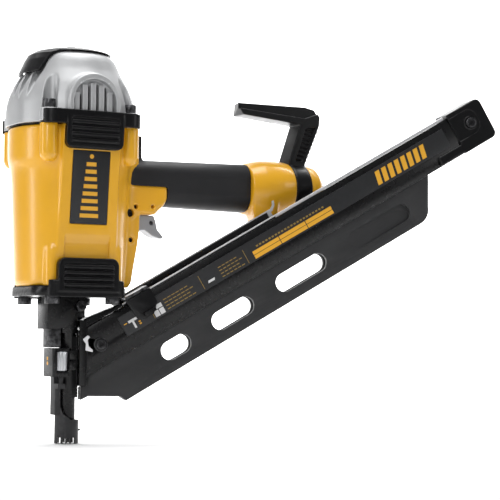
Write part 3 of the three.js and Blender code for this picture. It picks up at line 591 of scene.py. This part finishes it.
def housing_hollows(field):
    bore = [(0, 143), (36.2, 143), (36.2, 172), (38.5, 180), (44, 240), (46, 262), (46, 289), (0, 289)]
    field.cut(turned(bore, 2))
    field.cut(rod(0, (0, HANDLE_Z), 12.5, (36, 252)))
    field.cut(block((53, -8.2, 190), (88.5, 8.2, 226)), 0.8)
    field.cut(block((47, -11.3, 176), (62, 11.3, 226)), 0.8)
    field.cut(block((47.8, 5.7, 142), (53.6, 11.3, 180)))
    field.cut(rod(2, (STEM_X, 0), 6.9, (220, 240)))
    holes = [(TRIGGER_PIVOT, 2.1), (LOWER_PIN, 2.3), (UPPER_PIN, 3.8), (YOKE_PIN, 1.8)]
    for (x, z), radius in holes:
        field.cut(rod(1, (x, z), radius, (-20, 20)), 0.8)
    for sx, sy in QUARTERS:
        field.cut(rod(2, (sx * CAP_SCREW[0], sy * CAP_SCREW[1]), 3.1, (268, 289)))
        field.cut(rod(2, (sx * NOSE_BOLT[0], sy * NOSE_BOLT[1]), 3.4, (143, 160)))
    field.cut(rod(1, (196, 207), 2.7, (16, 36)).placed(YAWED))


def housing_sides(field):
    for side in (-1, 1):
        beyond = panel_slab(0, 30, 30, 130, 300)
        for sx in (-1, 1):
            x, y = sx * NOSE_BOLT[0], NOSE_BOLT[1]
            beyond = beyond - capsule((x, y, 130), (x, y, 175), 8)
        field.cut(beyond.sided(side), 0.9)
        field.cut(panel_slab(-1.2, 1, 18.3, 199, 265.5).sided(side), 0.4)
        step = prism([(panel_y(160) - 1.6, 158), (panel_y(190) + 2, 158), (panel_y(190) + 2, 189.5),
                      (panel_y(189.5) - 0.1, 189.5), (panel_y(183) - 2.6, 182)], 0, (-21.8, 21.8))
        field.cut(step.sided(side), 0.35)


def build_housing():
    z0, z1 = HOUSING_Z
    field = Field((-59, -56, z0), (247, 56, z1), 0.8)
    barrel = softened([(0, z0), (50, z0), (50.6, 160), (53.6, 236), (54.8, 250), (57.2, 258), (57.5, 268),
                       (57.5, z1), (0, z1)], 4)
    field.add(turned([(0, z0 - 9), *barrel[4:-4], (0, z1 + 9)], 2))
    for side in (-1, 1):
        field.add(panel_slab(-14, 0, 28, 172, z1 + 9, 1.5).sided(side), 3)
    housing_bosses(field)
    housing_sides(field)
    housing_handle(field)
    housing_hollows(field)
    field.keep(block((-60, -60, z0), (250, 60, z1), 0.5), 0)
    field.piece("housing_casting", "yellow", "tool", ["housing"], 0.22)


def build_web_pins():
    """Socketed pin ends that close the web's two side holes."""
    field = Field((47, -16, 180), (60, 16, 220), 0.35)
    for (x, z), radius in ((UPPER_PIN, 3.75), (LOWER_PIN, 2.25)):
        for side in (-1, 1):
            field.add(rod(1, (x, z), radius, (11.9, 14.9), 0.6).sided(side))
            field.cut(rod(1, (x, z), radius * 0.45, (13.6, 17)).sided(side), 0.3)
    field.piece("web_pin_ends", "dark", "tool", share=0.4)


# ---------------------------------------------------------------- cap and exhaust
DOME = [(45.3, 341), (41.5, 350), (38.4, 354.8), (33, 358.4), (24, 360.9), (12, 362.2), (0, CAP_Z[1])]


def build_cap():
    z0 = CAP_Z[0]
    field = Field((-58, -58, z0), (58, 58, CAP_Z[1]), 0.6)
    dome = softened([(59.5, z0 - 8), (60.3, 300), (59.6, 309), (57, 318), (53, 327.5), *DOME[:-1]], 3)
    field.add(turned([(0, z0 - 8), *dome[2:-2], DOME[-1]], 2))
    field.keep(prism(rounded(57.6, 56.5, 26), 2, (z0 - 30, 400)), 3)
    for sx, sy in QUARTERS:
        field.add(rod(2, (sx * CAP_SCREW[0], sy * CAP_SCREW[1]), LUG_R, (z0 - 10, 302), 0.8), 1.2)
    for side in (-1, 1):
        for z in (301, 306, 310):
            arch = rod(1, (0, z), 25, (36, 57.6), 1.6) & block((-30, 20, z0 - 4), (30, 60, 340))
            field.add(arch.sided(side), 3)
        for z in (301, 309):
            recess = rod(1, (0, z), 20.6, (52.4, 62), 0.5) & block((-30, 50, 280), (30, 70, 340))
            field.cut(recess.sided(side), 0.9)
        for i, x in enumerate((-16.5, -8.5, -0.5, 7.5, 15.5)):
            top = 309 + math.sqrt(19.6 ** 2 - x * x) - 2.2
            fin = block((x - 3.1, 47, z0 - 6), (x + 2.3, 56.2, top), 1.1)
            field.add(fin.sided(side), 1.4)
            slit = block((x + 2.6, 40, z0 + 3), (x + 5.1, 60, top - 0.12 * abs(x + 4) - 0.5), 0.5)
            if i < 4:
                field.cut(slit.sided(side), 0.5)
    for sx, sy in QUARTERS:
        x, y = sx * CAP_SCREW[0], sy * CAP_SCREW[1]
        for inward in (1, 0.955, 0.915):
            well = capsule((x * inward, y * inward, 290), (x * inward, y * inward, 334), 6.5)
            field.cut(well & block((-60, -60, 302), (60, 60, 350)), 1.2)
        field.cut(rod(2, (x, y), 3.1, (z0 - 1, 303)))
    for y in (-23, -11.5, 0, 11.5, 23):
        lean = 0.009 * y * y
        field.cut(capsule((-58.6 + lean, 1.1 * y, 314), (-41 + lean, 0.86 * y, 345), 1.6, 6.2), 0.7)
    field.cut(rod(2, (0, 0), 41, (z0 - 5, 316)))
    field.cut(rod(2, (0, 0), 26, (315, 335)))
    field.cut(rod(2, (0, 0), 2.6, (345, 364)))
    field.keep(block((-60, -60, z0), (60, 60, CAP_Z[1])))
    field.piece("cap_casting", "silver", "tool", ["cylinder_cap"], 0.3)


def build_deflector():
    lift, thick = 0.4, 1.8
    field = Field((-50, -39, 336), (39, 39, 366), 0.45)
    under = [(0, CAP_Z[1] + lift), (12, 362.2 + lift), (24, 360.9 + lift), (33.2, 358.4 + lift), (36.4, 358.2)]
    over = [(36.9, 358.5), (36.5, 359), (33.4, 360.2), (24.2, 362.8), (12.2, 364.2), (0, 364.6)]
    field.add(turned(under + over, 2))
    tongue = [(33.6, 358.5), (38.8, 355.3), (42, 350.3), (45.8, 341.4), (47.4, 338.2), (49, 338.2), (49.3, 339),
              (47.8, 342.4), (44, 351), (40.8, 356.4), (34.5, 360.4)]
    plan = [(-60, -21.7), (-22.4, -29), (-14, -30.7), (-14, 30.7), (-22.4, 29), (-60, 21.7)]
    field.add(turned(tongue, 2, closed=True) & prism(plan, 2, (335, 370)), 0.5)
    field.cut(rod(2, (0, 0), 2.6, (350, 370)))
    under_dome = [(r, z + 0.25) for r, z in DOME[-2::-1]]
    field.cut(turned([(0, CAP_Z[1] + 0.2), *under_dome, (48.7, 335.2), (0, 335.2)], 2))
    field.keep(block((-49.3, -36.9, 330), (36.9, 36.9, 364.7)))
    field.piece("deflector_moulding", "plastic", "deflector", ["exhaust_deflector"], 0.4)


# ---------------------------------------------------------------- bumpers and grip
def build_upper_bumper(side):
    z0, z1 = 287.6, 300.8
    field = Field((-49, 40, 264), (49, 63, 302), 0.45)
    field.add(prism(rounded(48.4, 60.3, 13), 2, (z0, z1), 1.0))
    points = [(panel_y(266) + GAP, 266), (panel_y(266) + 7.2, 266), (61.6, 287), (60.3, 299.6), (56, 299.6),
              (54.6, 288)]
    pad = prism(softened(points, 2), 0, (-27.8, 27.8), 1.4) & prism(rounded(27.8, 30, 7, 0, 296), 1, (40, 70))
    field.add(pad, 1.5)
    field.cut(block((-23.6, 59.2, 270.2), (23.6, 70, 294.6), 2), 0.6)
    for i in range(4):
        z = 273.6 + 5.4 * i
        y = min(panel_y(z) + 6.6, 60.2)
        field.add(capsule((-21.6, y - 0.9, z), (21.6, y - 0.9, z), 2.1), 0.5)
    for sx, sy in QUARTERS:
        field.cut(rod(2, (sx * CAP_SCREW[0], sy * CAP_SCREW[1]), LUG_R + GAP, (250, 310)))
    field.cut(prism(rounded(58, 56.8, 26), 2, (286, 310)))
    field.cut(rod(1, (0, 301), 25.3, (30, 57.9)))
    field.cut(panel_slab(-30, GAP, 28.3, 230, 292))
    field.keep(block((-48.5, 44, 266), (48.5, 62, 300.8)))
    flip_if(field, side)
    name = "left" if side < 0 else "right"
    field.piece("bumper_top_" + name, "rubber", "tool", ["upper_bumper_" + name], 0.4)


def build_lower_bumper(side):
    field = Field((-39, 38, 132), (39, 53, 170), 0.45)
    field.add(prism(rounded(38, 49.5, 11), 2, (133, 148.6), 1.2))
    shoulders = prism(rounded(29.5, 22, 7, 0, 146.5), 1, (41, 50), 1.6) & block((-60, 30, 139), (60, 60, 180))
    field.add(shoulders, 2.5)
    field.cut(block((-24.6, 48.7, 141.2), (24.6, 60, 163.6), 2), 0.6)
    for i in range(4):
        z = 144.2 + 5.4 * i
        field.add(capsule((-22.4, 49.2, z), (22.4, 49.2, z), 2.1), 0.5)
    for sx, sy in QUARTERS:
        field.cut(rod(2, (sx * NOSE_BOLT[0], sy * NOSE_BOLT[1]), 8 + GAP, (140, 190)))
    field.cut(prism(rounded(45.5 + GAP, 45.5 + GAP, 24), 2, (120, 143.2)))
    field.cut(block((-60, -60, 142), (60, 42.9, 180)))
    field.cut(panel_slab(-30, GAP, 40, 142, 182))
    field.keep(block((-38.1, 41.6, 133), (38.1, 51.4, 168.5)))
    flip_if(field, side)
    name = "left" if side < 0 else "right"
    field.piece("bumper_foot_" + name, "rubber", "tool", ["lower_bumper_" + name], 0.4)


def flip_if(field, side):
    """Turns a field made on the +Y side into the other side's."""
    if side < 0:
        field.d = field.d[:, ::-1].copy()
        field.low[1] = -(field.low[1] + field.step * (field.d.shape[1] - 1))


def build_grip():
    x0, x1 = GRIP_X
    field = Field((x0, -19, 219), (x1, 19, 288), 0.6)

    def sleeve(x, y, z):
        stretch = 0.95 + 0.11 * (x - x0) / (x1 - x0)
        across = block((x0 - 20, -18.5, HANDLE_Z - 22), (x1 + 20, 18.5, HANDLE_Z + 22), 14.6)
        return across.distance(np.float32((x0 + x1) / 2), y, HANDLE_Z + (z - HANDLE_Z) / stretch)

    field.add(Shape(sleeve, (x0, -18.6, 220), (x1, 18.6, 268)))
    field.add(block((63.8, -11, 240), (68.2, 11, 287), 1.2), 5)
    field.cut(prism(rounded(15.8, 18.8, 12.3, 0, HANDLE_Z), 0, (40, 190)))
    lower = softened([(30, 190), (92.3, 190), (92.3, 239.5), (30, 239.5)], 3.4)
    field.cut(prism(lower, 1, (-25, 25)))
    field.cut(block((40, -13.8, 200), (63.8, 13.8, 300)))
    barrel = [(0, 230), (54.2, 230), (54.2, 238), (55.4, 250), (57.6, 258), (57.9, 268), (57.9, 300), (0, 300)]
    field.cut(turned(barrel, 2))
    for sx, sy in QUARTERS[1:3]:
        x, y = CAP_SCREW[0], sy * CAP_SCREW[1]
        field.cut(capsule((x, y, 262), (x, y, 320), LUG_R + GAP))
    field.keep(block((x0, -18.6, 219.5), (x1, 18.6, 287), 0.6))
    field.piece("grip_moulding", "grip", "tool", ["grip_sleeve"], 0.3)


# ---------------------------------------------------------------- handle end
def build_hook():
    x0, x1 = HOOK_X
    field = Field((168, -28, 215), (263, 28, 328), 0.55)
    collar = softened([(22.1, x0), (26.8, x0), (27.4, x0 + 3), (27.4, x1 - 3), (26.8, x1), (22.1, x1)], 1.2)
    ring = turned(collar, 0, (0, HANDLE_Z), closed=True)
    leg = softened([(x0, 262), (x1, 262), (x1, 270.6), (262, 309), (263, 318), (257.5, 325.5), (247, 327.6),
                    (170, 326.9), (169.4, 325.6), (176.5, 315.4), (240.2, 309.6), (x0, 274)], 1.2)
    field.add(prism(leg, 1, (-11.5, 11.5), 1.3))
    for side in (-1, 1):
        recess = softened([(x0 + 6, 272), (x1 - 2.5, 273.5), (258, 307.5), (246.6, 306.5)], 2)
        pocket = prism(recess, 1, (8.6, 13))
        field.cut(pocket.sided(side), 0.7)
        for i in range(8):
            z = 275.5 + 4.1 * i
            x = 236.4 + 0.42 * (z - 272)
            bar = capsule((x - 2, 8.9, z + 0.4), (x + 10.4, 8.9, z - 1.6), 0.85)
            field.add(bar.sided(side), 0.7)
        facet = prism([(160, 322.4), (246, 316), (262, 322), (262, 332), (160, 332)], 1, (8.6, 13))
        field.cut(facet.sided(side), 1.2)
    field.cut(prism([(150, -13), (170.6, -13), (177, 13), (150, 13)], 2, (305, 335)), 0.5)
    field.cut(rod(0, (0, HANDLE_Z), 23.9, (220, 250)))
    field.add(ring, 1.2)
    field.cut(rod(0, (0, HANDLE_Z), 22.1, (220, 250)))
    field.keep(block((170, -27.4, 216.1), (262.6, 27.4, 327.6)))
    field.piece("hook_moulding", "plastic", "rafter_hook", ["rafter_hook"], 0.35)


def build_end_cap():
    x = HANDLE_END_X + GAP
    field = Field((x, -26, 217), (x + 17, 26, 270), 0.45)
    points = softened([(11.2, x), (25.6, x), (26, x + 4), (25, x + 9.5), (20.5, x + 14.5), (14, x + 16.2),
                       (11.2, x + 16.2)], 1.1)
    field.add(turned(points, 0, (0, HANDLE_Z), closed=True))
    field.piece("end_cap_turning", "yellow", "tool", ["handle_end_cap"], 0.3)


# ---------------------------------------------------------------- trigger
def build_trigger():
    field = Field((55, -8, 190), (94, 8, 225), 0.3)
    body = softened([(56.2, 223), (63, 223.6), (66, 217), (68, 213.2), (83.2, 212.6), (85.4, 206),
                     (86.8, 199.6), (92.6, 193.6), (92.8, 191.6), (90.6, 190.7), (82, 193.2), (73.6, 198.6),
                     (66.4, 197.6),
                     (65.4, 204), (56, 216)], 1.6)
    field.add(prism(body, 1, (-7.6, 7.6), 1.1))
    channel = softened([(50, 230), (84.4, 230), (84.2, 207), (82.5, 201.6), (72, 202.4), (60, 201),
                        (50, 190)], 1)
    field.cut(prism(channel, 1, (-4.6, 4.6)), 0.5)
    field.cut(rod(1, TRIGGER_PIVOT, 2.2, (-9, 9)), 0.4)
    field.cut(rod(1, TRIP_PIVOT, 2.1, (-9, 9)), 0.4)
    field.piece("trigger_casting", "cast", "trigger", ["trigger"], 0.35)


# ---------------------------------------------------------------- magazine end
def build_magazine_cap():
    a0, a1 = RAIL_END + GAP, 520.0
    field = Field((450, -15, 43), (a1, 15, 87), 0.45)
    field.add(prism(rounded((a1 - a0) / 2, 21.3, 6, (a0 + a1) / 2, 65), 1, (-14.6, 14.6), 1.8))
    field.add(block((a0, -14.6, 43.7), (a0 + 12, 14.6, 86.3), 1.2))
    skirt = block((452, -14.4, 44.6), (490, 14.4, 54), 2.0)
    half = [(8.6 + CLEAR, 30), (8.6 + CLEAR, 43.8), (12.4 + CLEAR, 50), (13 + CLEAR, 56), (13 + CLEAR, 90)]
    rail = [(-y, z) for y, z in half] + half[::-1]
    field.add(skirt - prism(rail, 0, (440, RAIL_END + GAP)), 0.8)
    for side in (-1, 1):
        panel = prism(rounded(22, 12.4, 9, 487, 69), 1, (13.7, 17))
        field.cut(panel.sided(side), 0.4)
    field.add(rod(1, (500, 67.8), 6.6, (-14.4, -12), 0.5), 0.5)
    field.cut(rod(1, (500, 67.8), 2.5, (-20, -6)))
    field.cut(block((a0 - 1, -5.4, 50), (a0 + 6, 5.4, 80)))
    field.keep(block((440, -14.6, 43.7), (a1, 14.6, 86.3)))
    field.piece("magazine_cap_moulding", "plastic", "tool", ["magazine_end_cap"], 0.35, TILTED)


# ---------------------------------------------------------------- printed graphics
def printed(name, finish, outlines, depth_span, matrix=None, body="tool"):
    """Thin closed prints: outlines of (u, z) points, thick along the local y axis."""
    points, faces = [], []
    for outline in outlines:
        first, n = len(points), len(outline)
        for y in depth_span:
            points += [(u, y if not callable(y) else y(z), z) for u, z in outline]
        faces.append(list(range(first, first + n)))
        faces.append(list(range(first + 2 * n - 1, first + n - 1, -1)))
        faces += [[first + i, first + n + i, first + n + (i + 1) % n, first + (i + 1) % n] for i in range(n)]
    placed = (np.array(points) * MM) @ np.array(matrix or Matrix.Identity(3)).T
    mesh = bpy.data.meshes.new(name)
    mesh.from_pydata(placed.tolist(), [], faces)
    shell = bmesh.new()
    shell.from_mesh(mesh)
    bmesh.ops.recalc_face_normals(shell, faces=shell.faces)
    shell.to_mesh(mesh)
    shell.free()
    placed_piece(name, mesh, finish, body)


def bar(u0, u1, z0, z1, lean=0.0):
    return [(u0, z0), (u1, z0), (u1 + lean, z1), (u0 + lean, z1)]


def disc(u, z, radius, sides=20):
    turns = [k * math.tau / sides for k in range(sides)]
    return [(u + radius * math.cos(turn), z + radius * math.sin(turn)) for turn in turns]


def print_nameplates():
    for side, name in ((-1, "left"), (1, "right")):
        outlines = [bar(-9 + 0.6 * k, 9 - 0.6 * k, 205 + 6.6 * k, 208.6 + 6.6 * k) for k in range(8)]
        outlines.append(disc(0, 260, 2.0))
        span = (lambda z, s=side: s * (panel_y(z) - 0.09), lambda z, s=side: s * (panel_y(z) + 0.03))
        printed("nameplate_print_" + name, "print_yellow", outlines, span)


def print_depth_marks():
    """Two small coloured marks on the front of the depth frame."""
    points = [disc(y, z, 1.7, 14) for y, z in ((-1.2, 77.6), (-1.2, 73.2))]
    printed("depth_marks", "print_yellow", points, (-19.06, -18.96), FRONT_FACE, "contact_arm")


def build_nail_cheeks():
    """Guide cheeks either side of the nail's path, between the nose and the magazine."""
    field = Field((6, -8, 41), (9, 8, 105), 0.3)
    for side in (-1, 1):
        field.add(block((7.0, 5.6, 42), (8.7, 7.2, 104), 0.3).sided(side))
    field.piece("nail_guide_cheeks", "black", "tool", share=0.2, matrix=YAWED)


def build_bolt_plate():
    """Bright waisted plate beside the front bracket's bolt."""
    waist = softened([(55.4, 66.2), (60.6, 61.4), (61.8, 63.2), (60, 68), (62, 73.4), (65.4, 74.6),
                      (64.4, 77.2), (58.4, 76.4), (58.8, 71.2)], 0.6)
    for side, name in ((-1, "left"), (1, "right")):
        field = Field((53, -15.2, 60), (68, 15.2, 79), 0.3)
        field.add(prism(waist, 1, (13.6, 14.5), 0.25).sided(side))
        field.piece("bolt_plate_" + name, "plain_steel", "tool", share=0.5, matrix=TILTED)


def print_magazine():
    """Generic bars, ticks and an open-box mark in place of the real label's lettering."""
    yellow, white, ochre = [], [], []
    for k in range(8):
        yellow.append(bar(384 + 7.6 * k, 389 + 7.6 * k, 60.2, 73.6, 2.6))
    for k in range(3):
        yellow.append(bar(240 + 30.4 * k, 269.6 + 30.4 * k, 59.2, 62.8))
        yellow.append(bar(240 + 30.4 * k, 269.6 + 30.4 * k, 63.3, 66.8))
    for k in range(22):
        ochre.append(bar(246 + 3.6 * k, 248.2 + 3.6 * k, 68.8, 70.4))
    for u in (232, 182, 127):
        ochre.append(bar(u, u + 0.5, 59, 73))
    for row in range(4):
        z = 60.2 + 3.2 * row
        for k in range(7 - row % 2):
            ochre.append(bar(142 + 4.6 * k, 145.6 + 4.6 * k, z, z + 0.8))
        for k in range(6 - row % 2):
            ochre.append(bar(203 + 4.4 * k, 206.2 + 4.4 * k, z, z + 0.8))
    white += [bar(128.6, 133.4, 59.2, 65), bar(134.2, 139, 59.2, 65), bar(128.6, 139, 65.8, 69.6)]
    white.append(bar(188, 195, 62, 64.2, 1))
    white += [bar(103, 112, 67.2, 69.6), bar(106.4, 108.4, 60.4, 67.4)]
    yellow += [bar(98.4, 101.6, 68, 68.8), bar(113.6, 117.6, 68, 68.8)]
    yellow += [bar(112, 114, 61.4, 62.6), bar(112, 114, 63.6, 64.8)]
    for side, name in ((-1, "left"), (1, "right")):
        face = side * 13.9
        span = (face - 0.02 * side, face + 0.06 * side)
        printed("magazine_print_yellow_" + name, "print_yellow", yellow, span, TILTED)
        printed("magazine_print_white_" + name, "print_white", white, span, TILTED)
        printed("magazine_print_ochre_" + name, "print_ochre", ochre, span, TILTED)


# ---------------------------------------------------------------- carried-over CAD nodes
BEVELS = {"lower_guide": 0.5, "magazine_rail": 0.5, "nose_guide": 0.8, "guide_cover": 0.8, "depth_frame": 1.0,
          "upper_contact_arm": 0.6, "contact_foot": 0.4, "front_bracket": 0.7, "rail_strip_near": 0.25,
          "rail_strip_far": 0.25,
          "label_panel_left": 0.1, "label_panel_right": 0.1, "nameplate_left": 0.2, "nameplate_right": 0.2}


NODE_OWN = {"rail_strip_near": "strip_near", "rail_strip_far": "strip_far"}


def dress_nodes():
    """Gives each CAD node its finish, broken edges and clean shading."""
    slots = {part["node"]: part["material_slot"] for part in frame["record"]["subparts"]}
    for name, node in frame["nodes"].items():
        if node.hide_render:
            continue
        finish = FINISHES[NODE_OWN.get(name, NODE_FINISH[slots[name]])]
        if not node.material_slots:
            node.data.materials.append(finish)
        for slot in node.material_slots:
            slot.material = finish
        weld = node.modifiers.new("weld", "WELD")
        weld.merge_threshold = 2e-6
        flat = node.modifiers.new("flat", "DECIMATE")
        flat.decimate_type = "DISSOLVE"
        flat.angle_limit = math.radians(0.6)
        bevel = node.modifiers.new("edges", "BEVEL")
        bevel.width = BEVELS.get(name, 0.35) * MM
        bevel.segments = 2
        bevel.limit_method = "ANGLE"
        bevel.angle_limit = math.radians(34)
        bevel.harden_normals = True
        node.data.shade_smooth()


# ---------------------------------------------------------------- studio
def stage_floor():
    """Pale floor that curves up into a backdrop behind the tool."""
    start, turn, radius = 1.6, 1.6, 3.0
    profile = [(-7.0, 0.0), (0.0, 0.0), (start, 0.0)]
    for k in range(1, 25):
        angle = math.radians(90 * k / 24)
        profile.append((turn + radius * math.sin(angle), radius - radius * math.cos(angle)))
    profile.append((turn + radius, 7.0))
    heading = Vector((math.sin(VIEW_AZIMUTH), math.cos(VIEW_AZIMUTH), 0))
    across = Vector((heading.y, -heading.x, 0))
    points, faces = [], []
    for d, z in profile:
        for s in (-8.0, 8.0):
            points.append(tuple(heading * d + across * s + Vector((0, 0, z - 0.0006))))
    for k in range(len(profile) - 1):
        faces.append((2 * k, 2 * k + 1, 2 * k + 3, 2 * k + 2))
    mesh = bpy.data.meshes.new("studio_floor")
    mesh.from_pydata(points, [], faces)
    mesh.shade_smooth()
    floor = bpy.data.objects.new("studio_floor", mesh)
    bpy.context.scene.collection.objects.link(floor)
    n = Nodes("studio_paper")
    tone = n.mix(n.noise(3, 2), rgb(0.91, 0.91, 0.91), rgb(0.93, 0.93, 0.93))
    mesh.materials.append(n.shade(Base_Color=tone, Roughness=0.95, Specular_IOR_Level=0.1))
    return heading


def area_light(name, place, target, size, power, shape_y=None):
    light = bpy.data.lights.new(name, "AREA")
    light.energy = power
    light.shape = "RECTANGLE"
    light.size, light.size_y = size, shape_y or size
    lamp = bpy.data.objects.new(name, light)
    lamp.location = place
    lamp.rotation_euler = (Vector(target) - Vector(place)).to_track_quat("-Z", "Y").to_euler()
    bpy.context.scene.collection.objects.link(lamp)


def light_studio(heading):
    middle = (0.13, -0.02, 0.2)
    area_light("key", (-1.15, -1.2, 1.1), middle, 0.4, 11, 1.0)
    area_light("side", (-1.7, 0.3, 0.6), middle, 0.3, 8, 1.3)
    area_light("fill", (1.5, -1.2, 0.7), middle, 0.6, 3)
    area_light("top", (0.1, -0.1, 1.5), middle, 0.9, 15)
    beyond = heading * 1.2 + Vector((0, 0, 2.6))
    area_light("backdrop", beyond, heading * 3.8 + Vector((0, 0, 0.9)), 3.5, 380, 2.0)
    world = bpy.data.worlds.new("studio")
    world.use_nodes = True
    world.node_tree.nodes["Background"].inputs[0].default_value = rgb(0.97, 0.98, 1.0)
    world.node_tree.nodes["Background"].inputs[1].default_value = 0.22
    bpy.context.scene.world = world
    bpy.context.scene.view_settings.view_transform = "Standard"


VIEW_AZIMUTH = math.radians(28.4)
VIEW_RISE = math.radians(3.0)
VIEW_ROLL = math.radians(0.5)
VIEW_POINT = (-0.5998, -1.4619, 0.0969)
SENSOR = 36
LENS = 122.4


def aim_camera():
    flat = math.cos(VIEW_RISE)
    forward = Vector((math.sin(VIEW_AZIMUTH) * flat, math.cos(VIEW_AZIMUTH) * flat, math.sin(VIEW_RISE)))
    level = Vector((math.cos(VIEW_AZIMUTH), -math.sin(VIEW_AZIMUTH), 0))
    up = level.cross(forward)
    right = level * math.cos(VIEW_ROLL) + up * math.sin(VIEW_ROLL)
    up = up * math.cos(VIEW_ROLL) - level * math.sin(VIEW_ROLL)
    data = bpy.data.cameras.new("camera")
    data.sensor_width = SENSOR
    data.lens = LENS
    camera = bpy.data.objects.new("camera", data)
    turn = Matrix((right, up, -forward)).transposed().to_4x4()
    camera.matrix_world = Matrix.Translation(VIEW_POINT) @ turn
    bpy.context.scene.collection.objects.link(camera)
    bpy.context.scene.camera = camera


# ---------------------------------------------------------------- build
aim_camera()
light_studio(stage_floor())
build_housing()
build_web_pins()
build_cap()
build_deflector()
for side in (-1, 1):
    build_upper_bumper(side)
    build_lower_bumper(side)
build_grip()
build_hook()
build_end_cap()
build_trigger()
build_magazine_cap()
build_nail_cheeks()
build_bolt_plate()
print_nameplates()
print_magazine()
print_depth_marks()
dress_nodes()
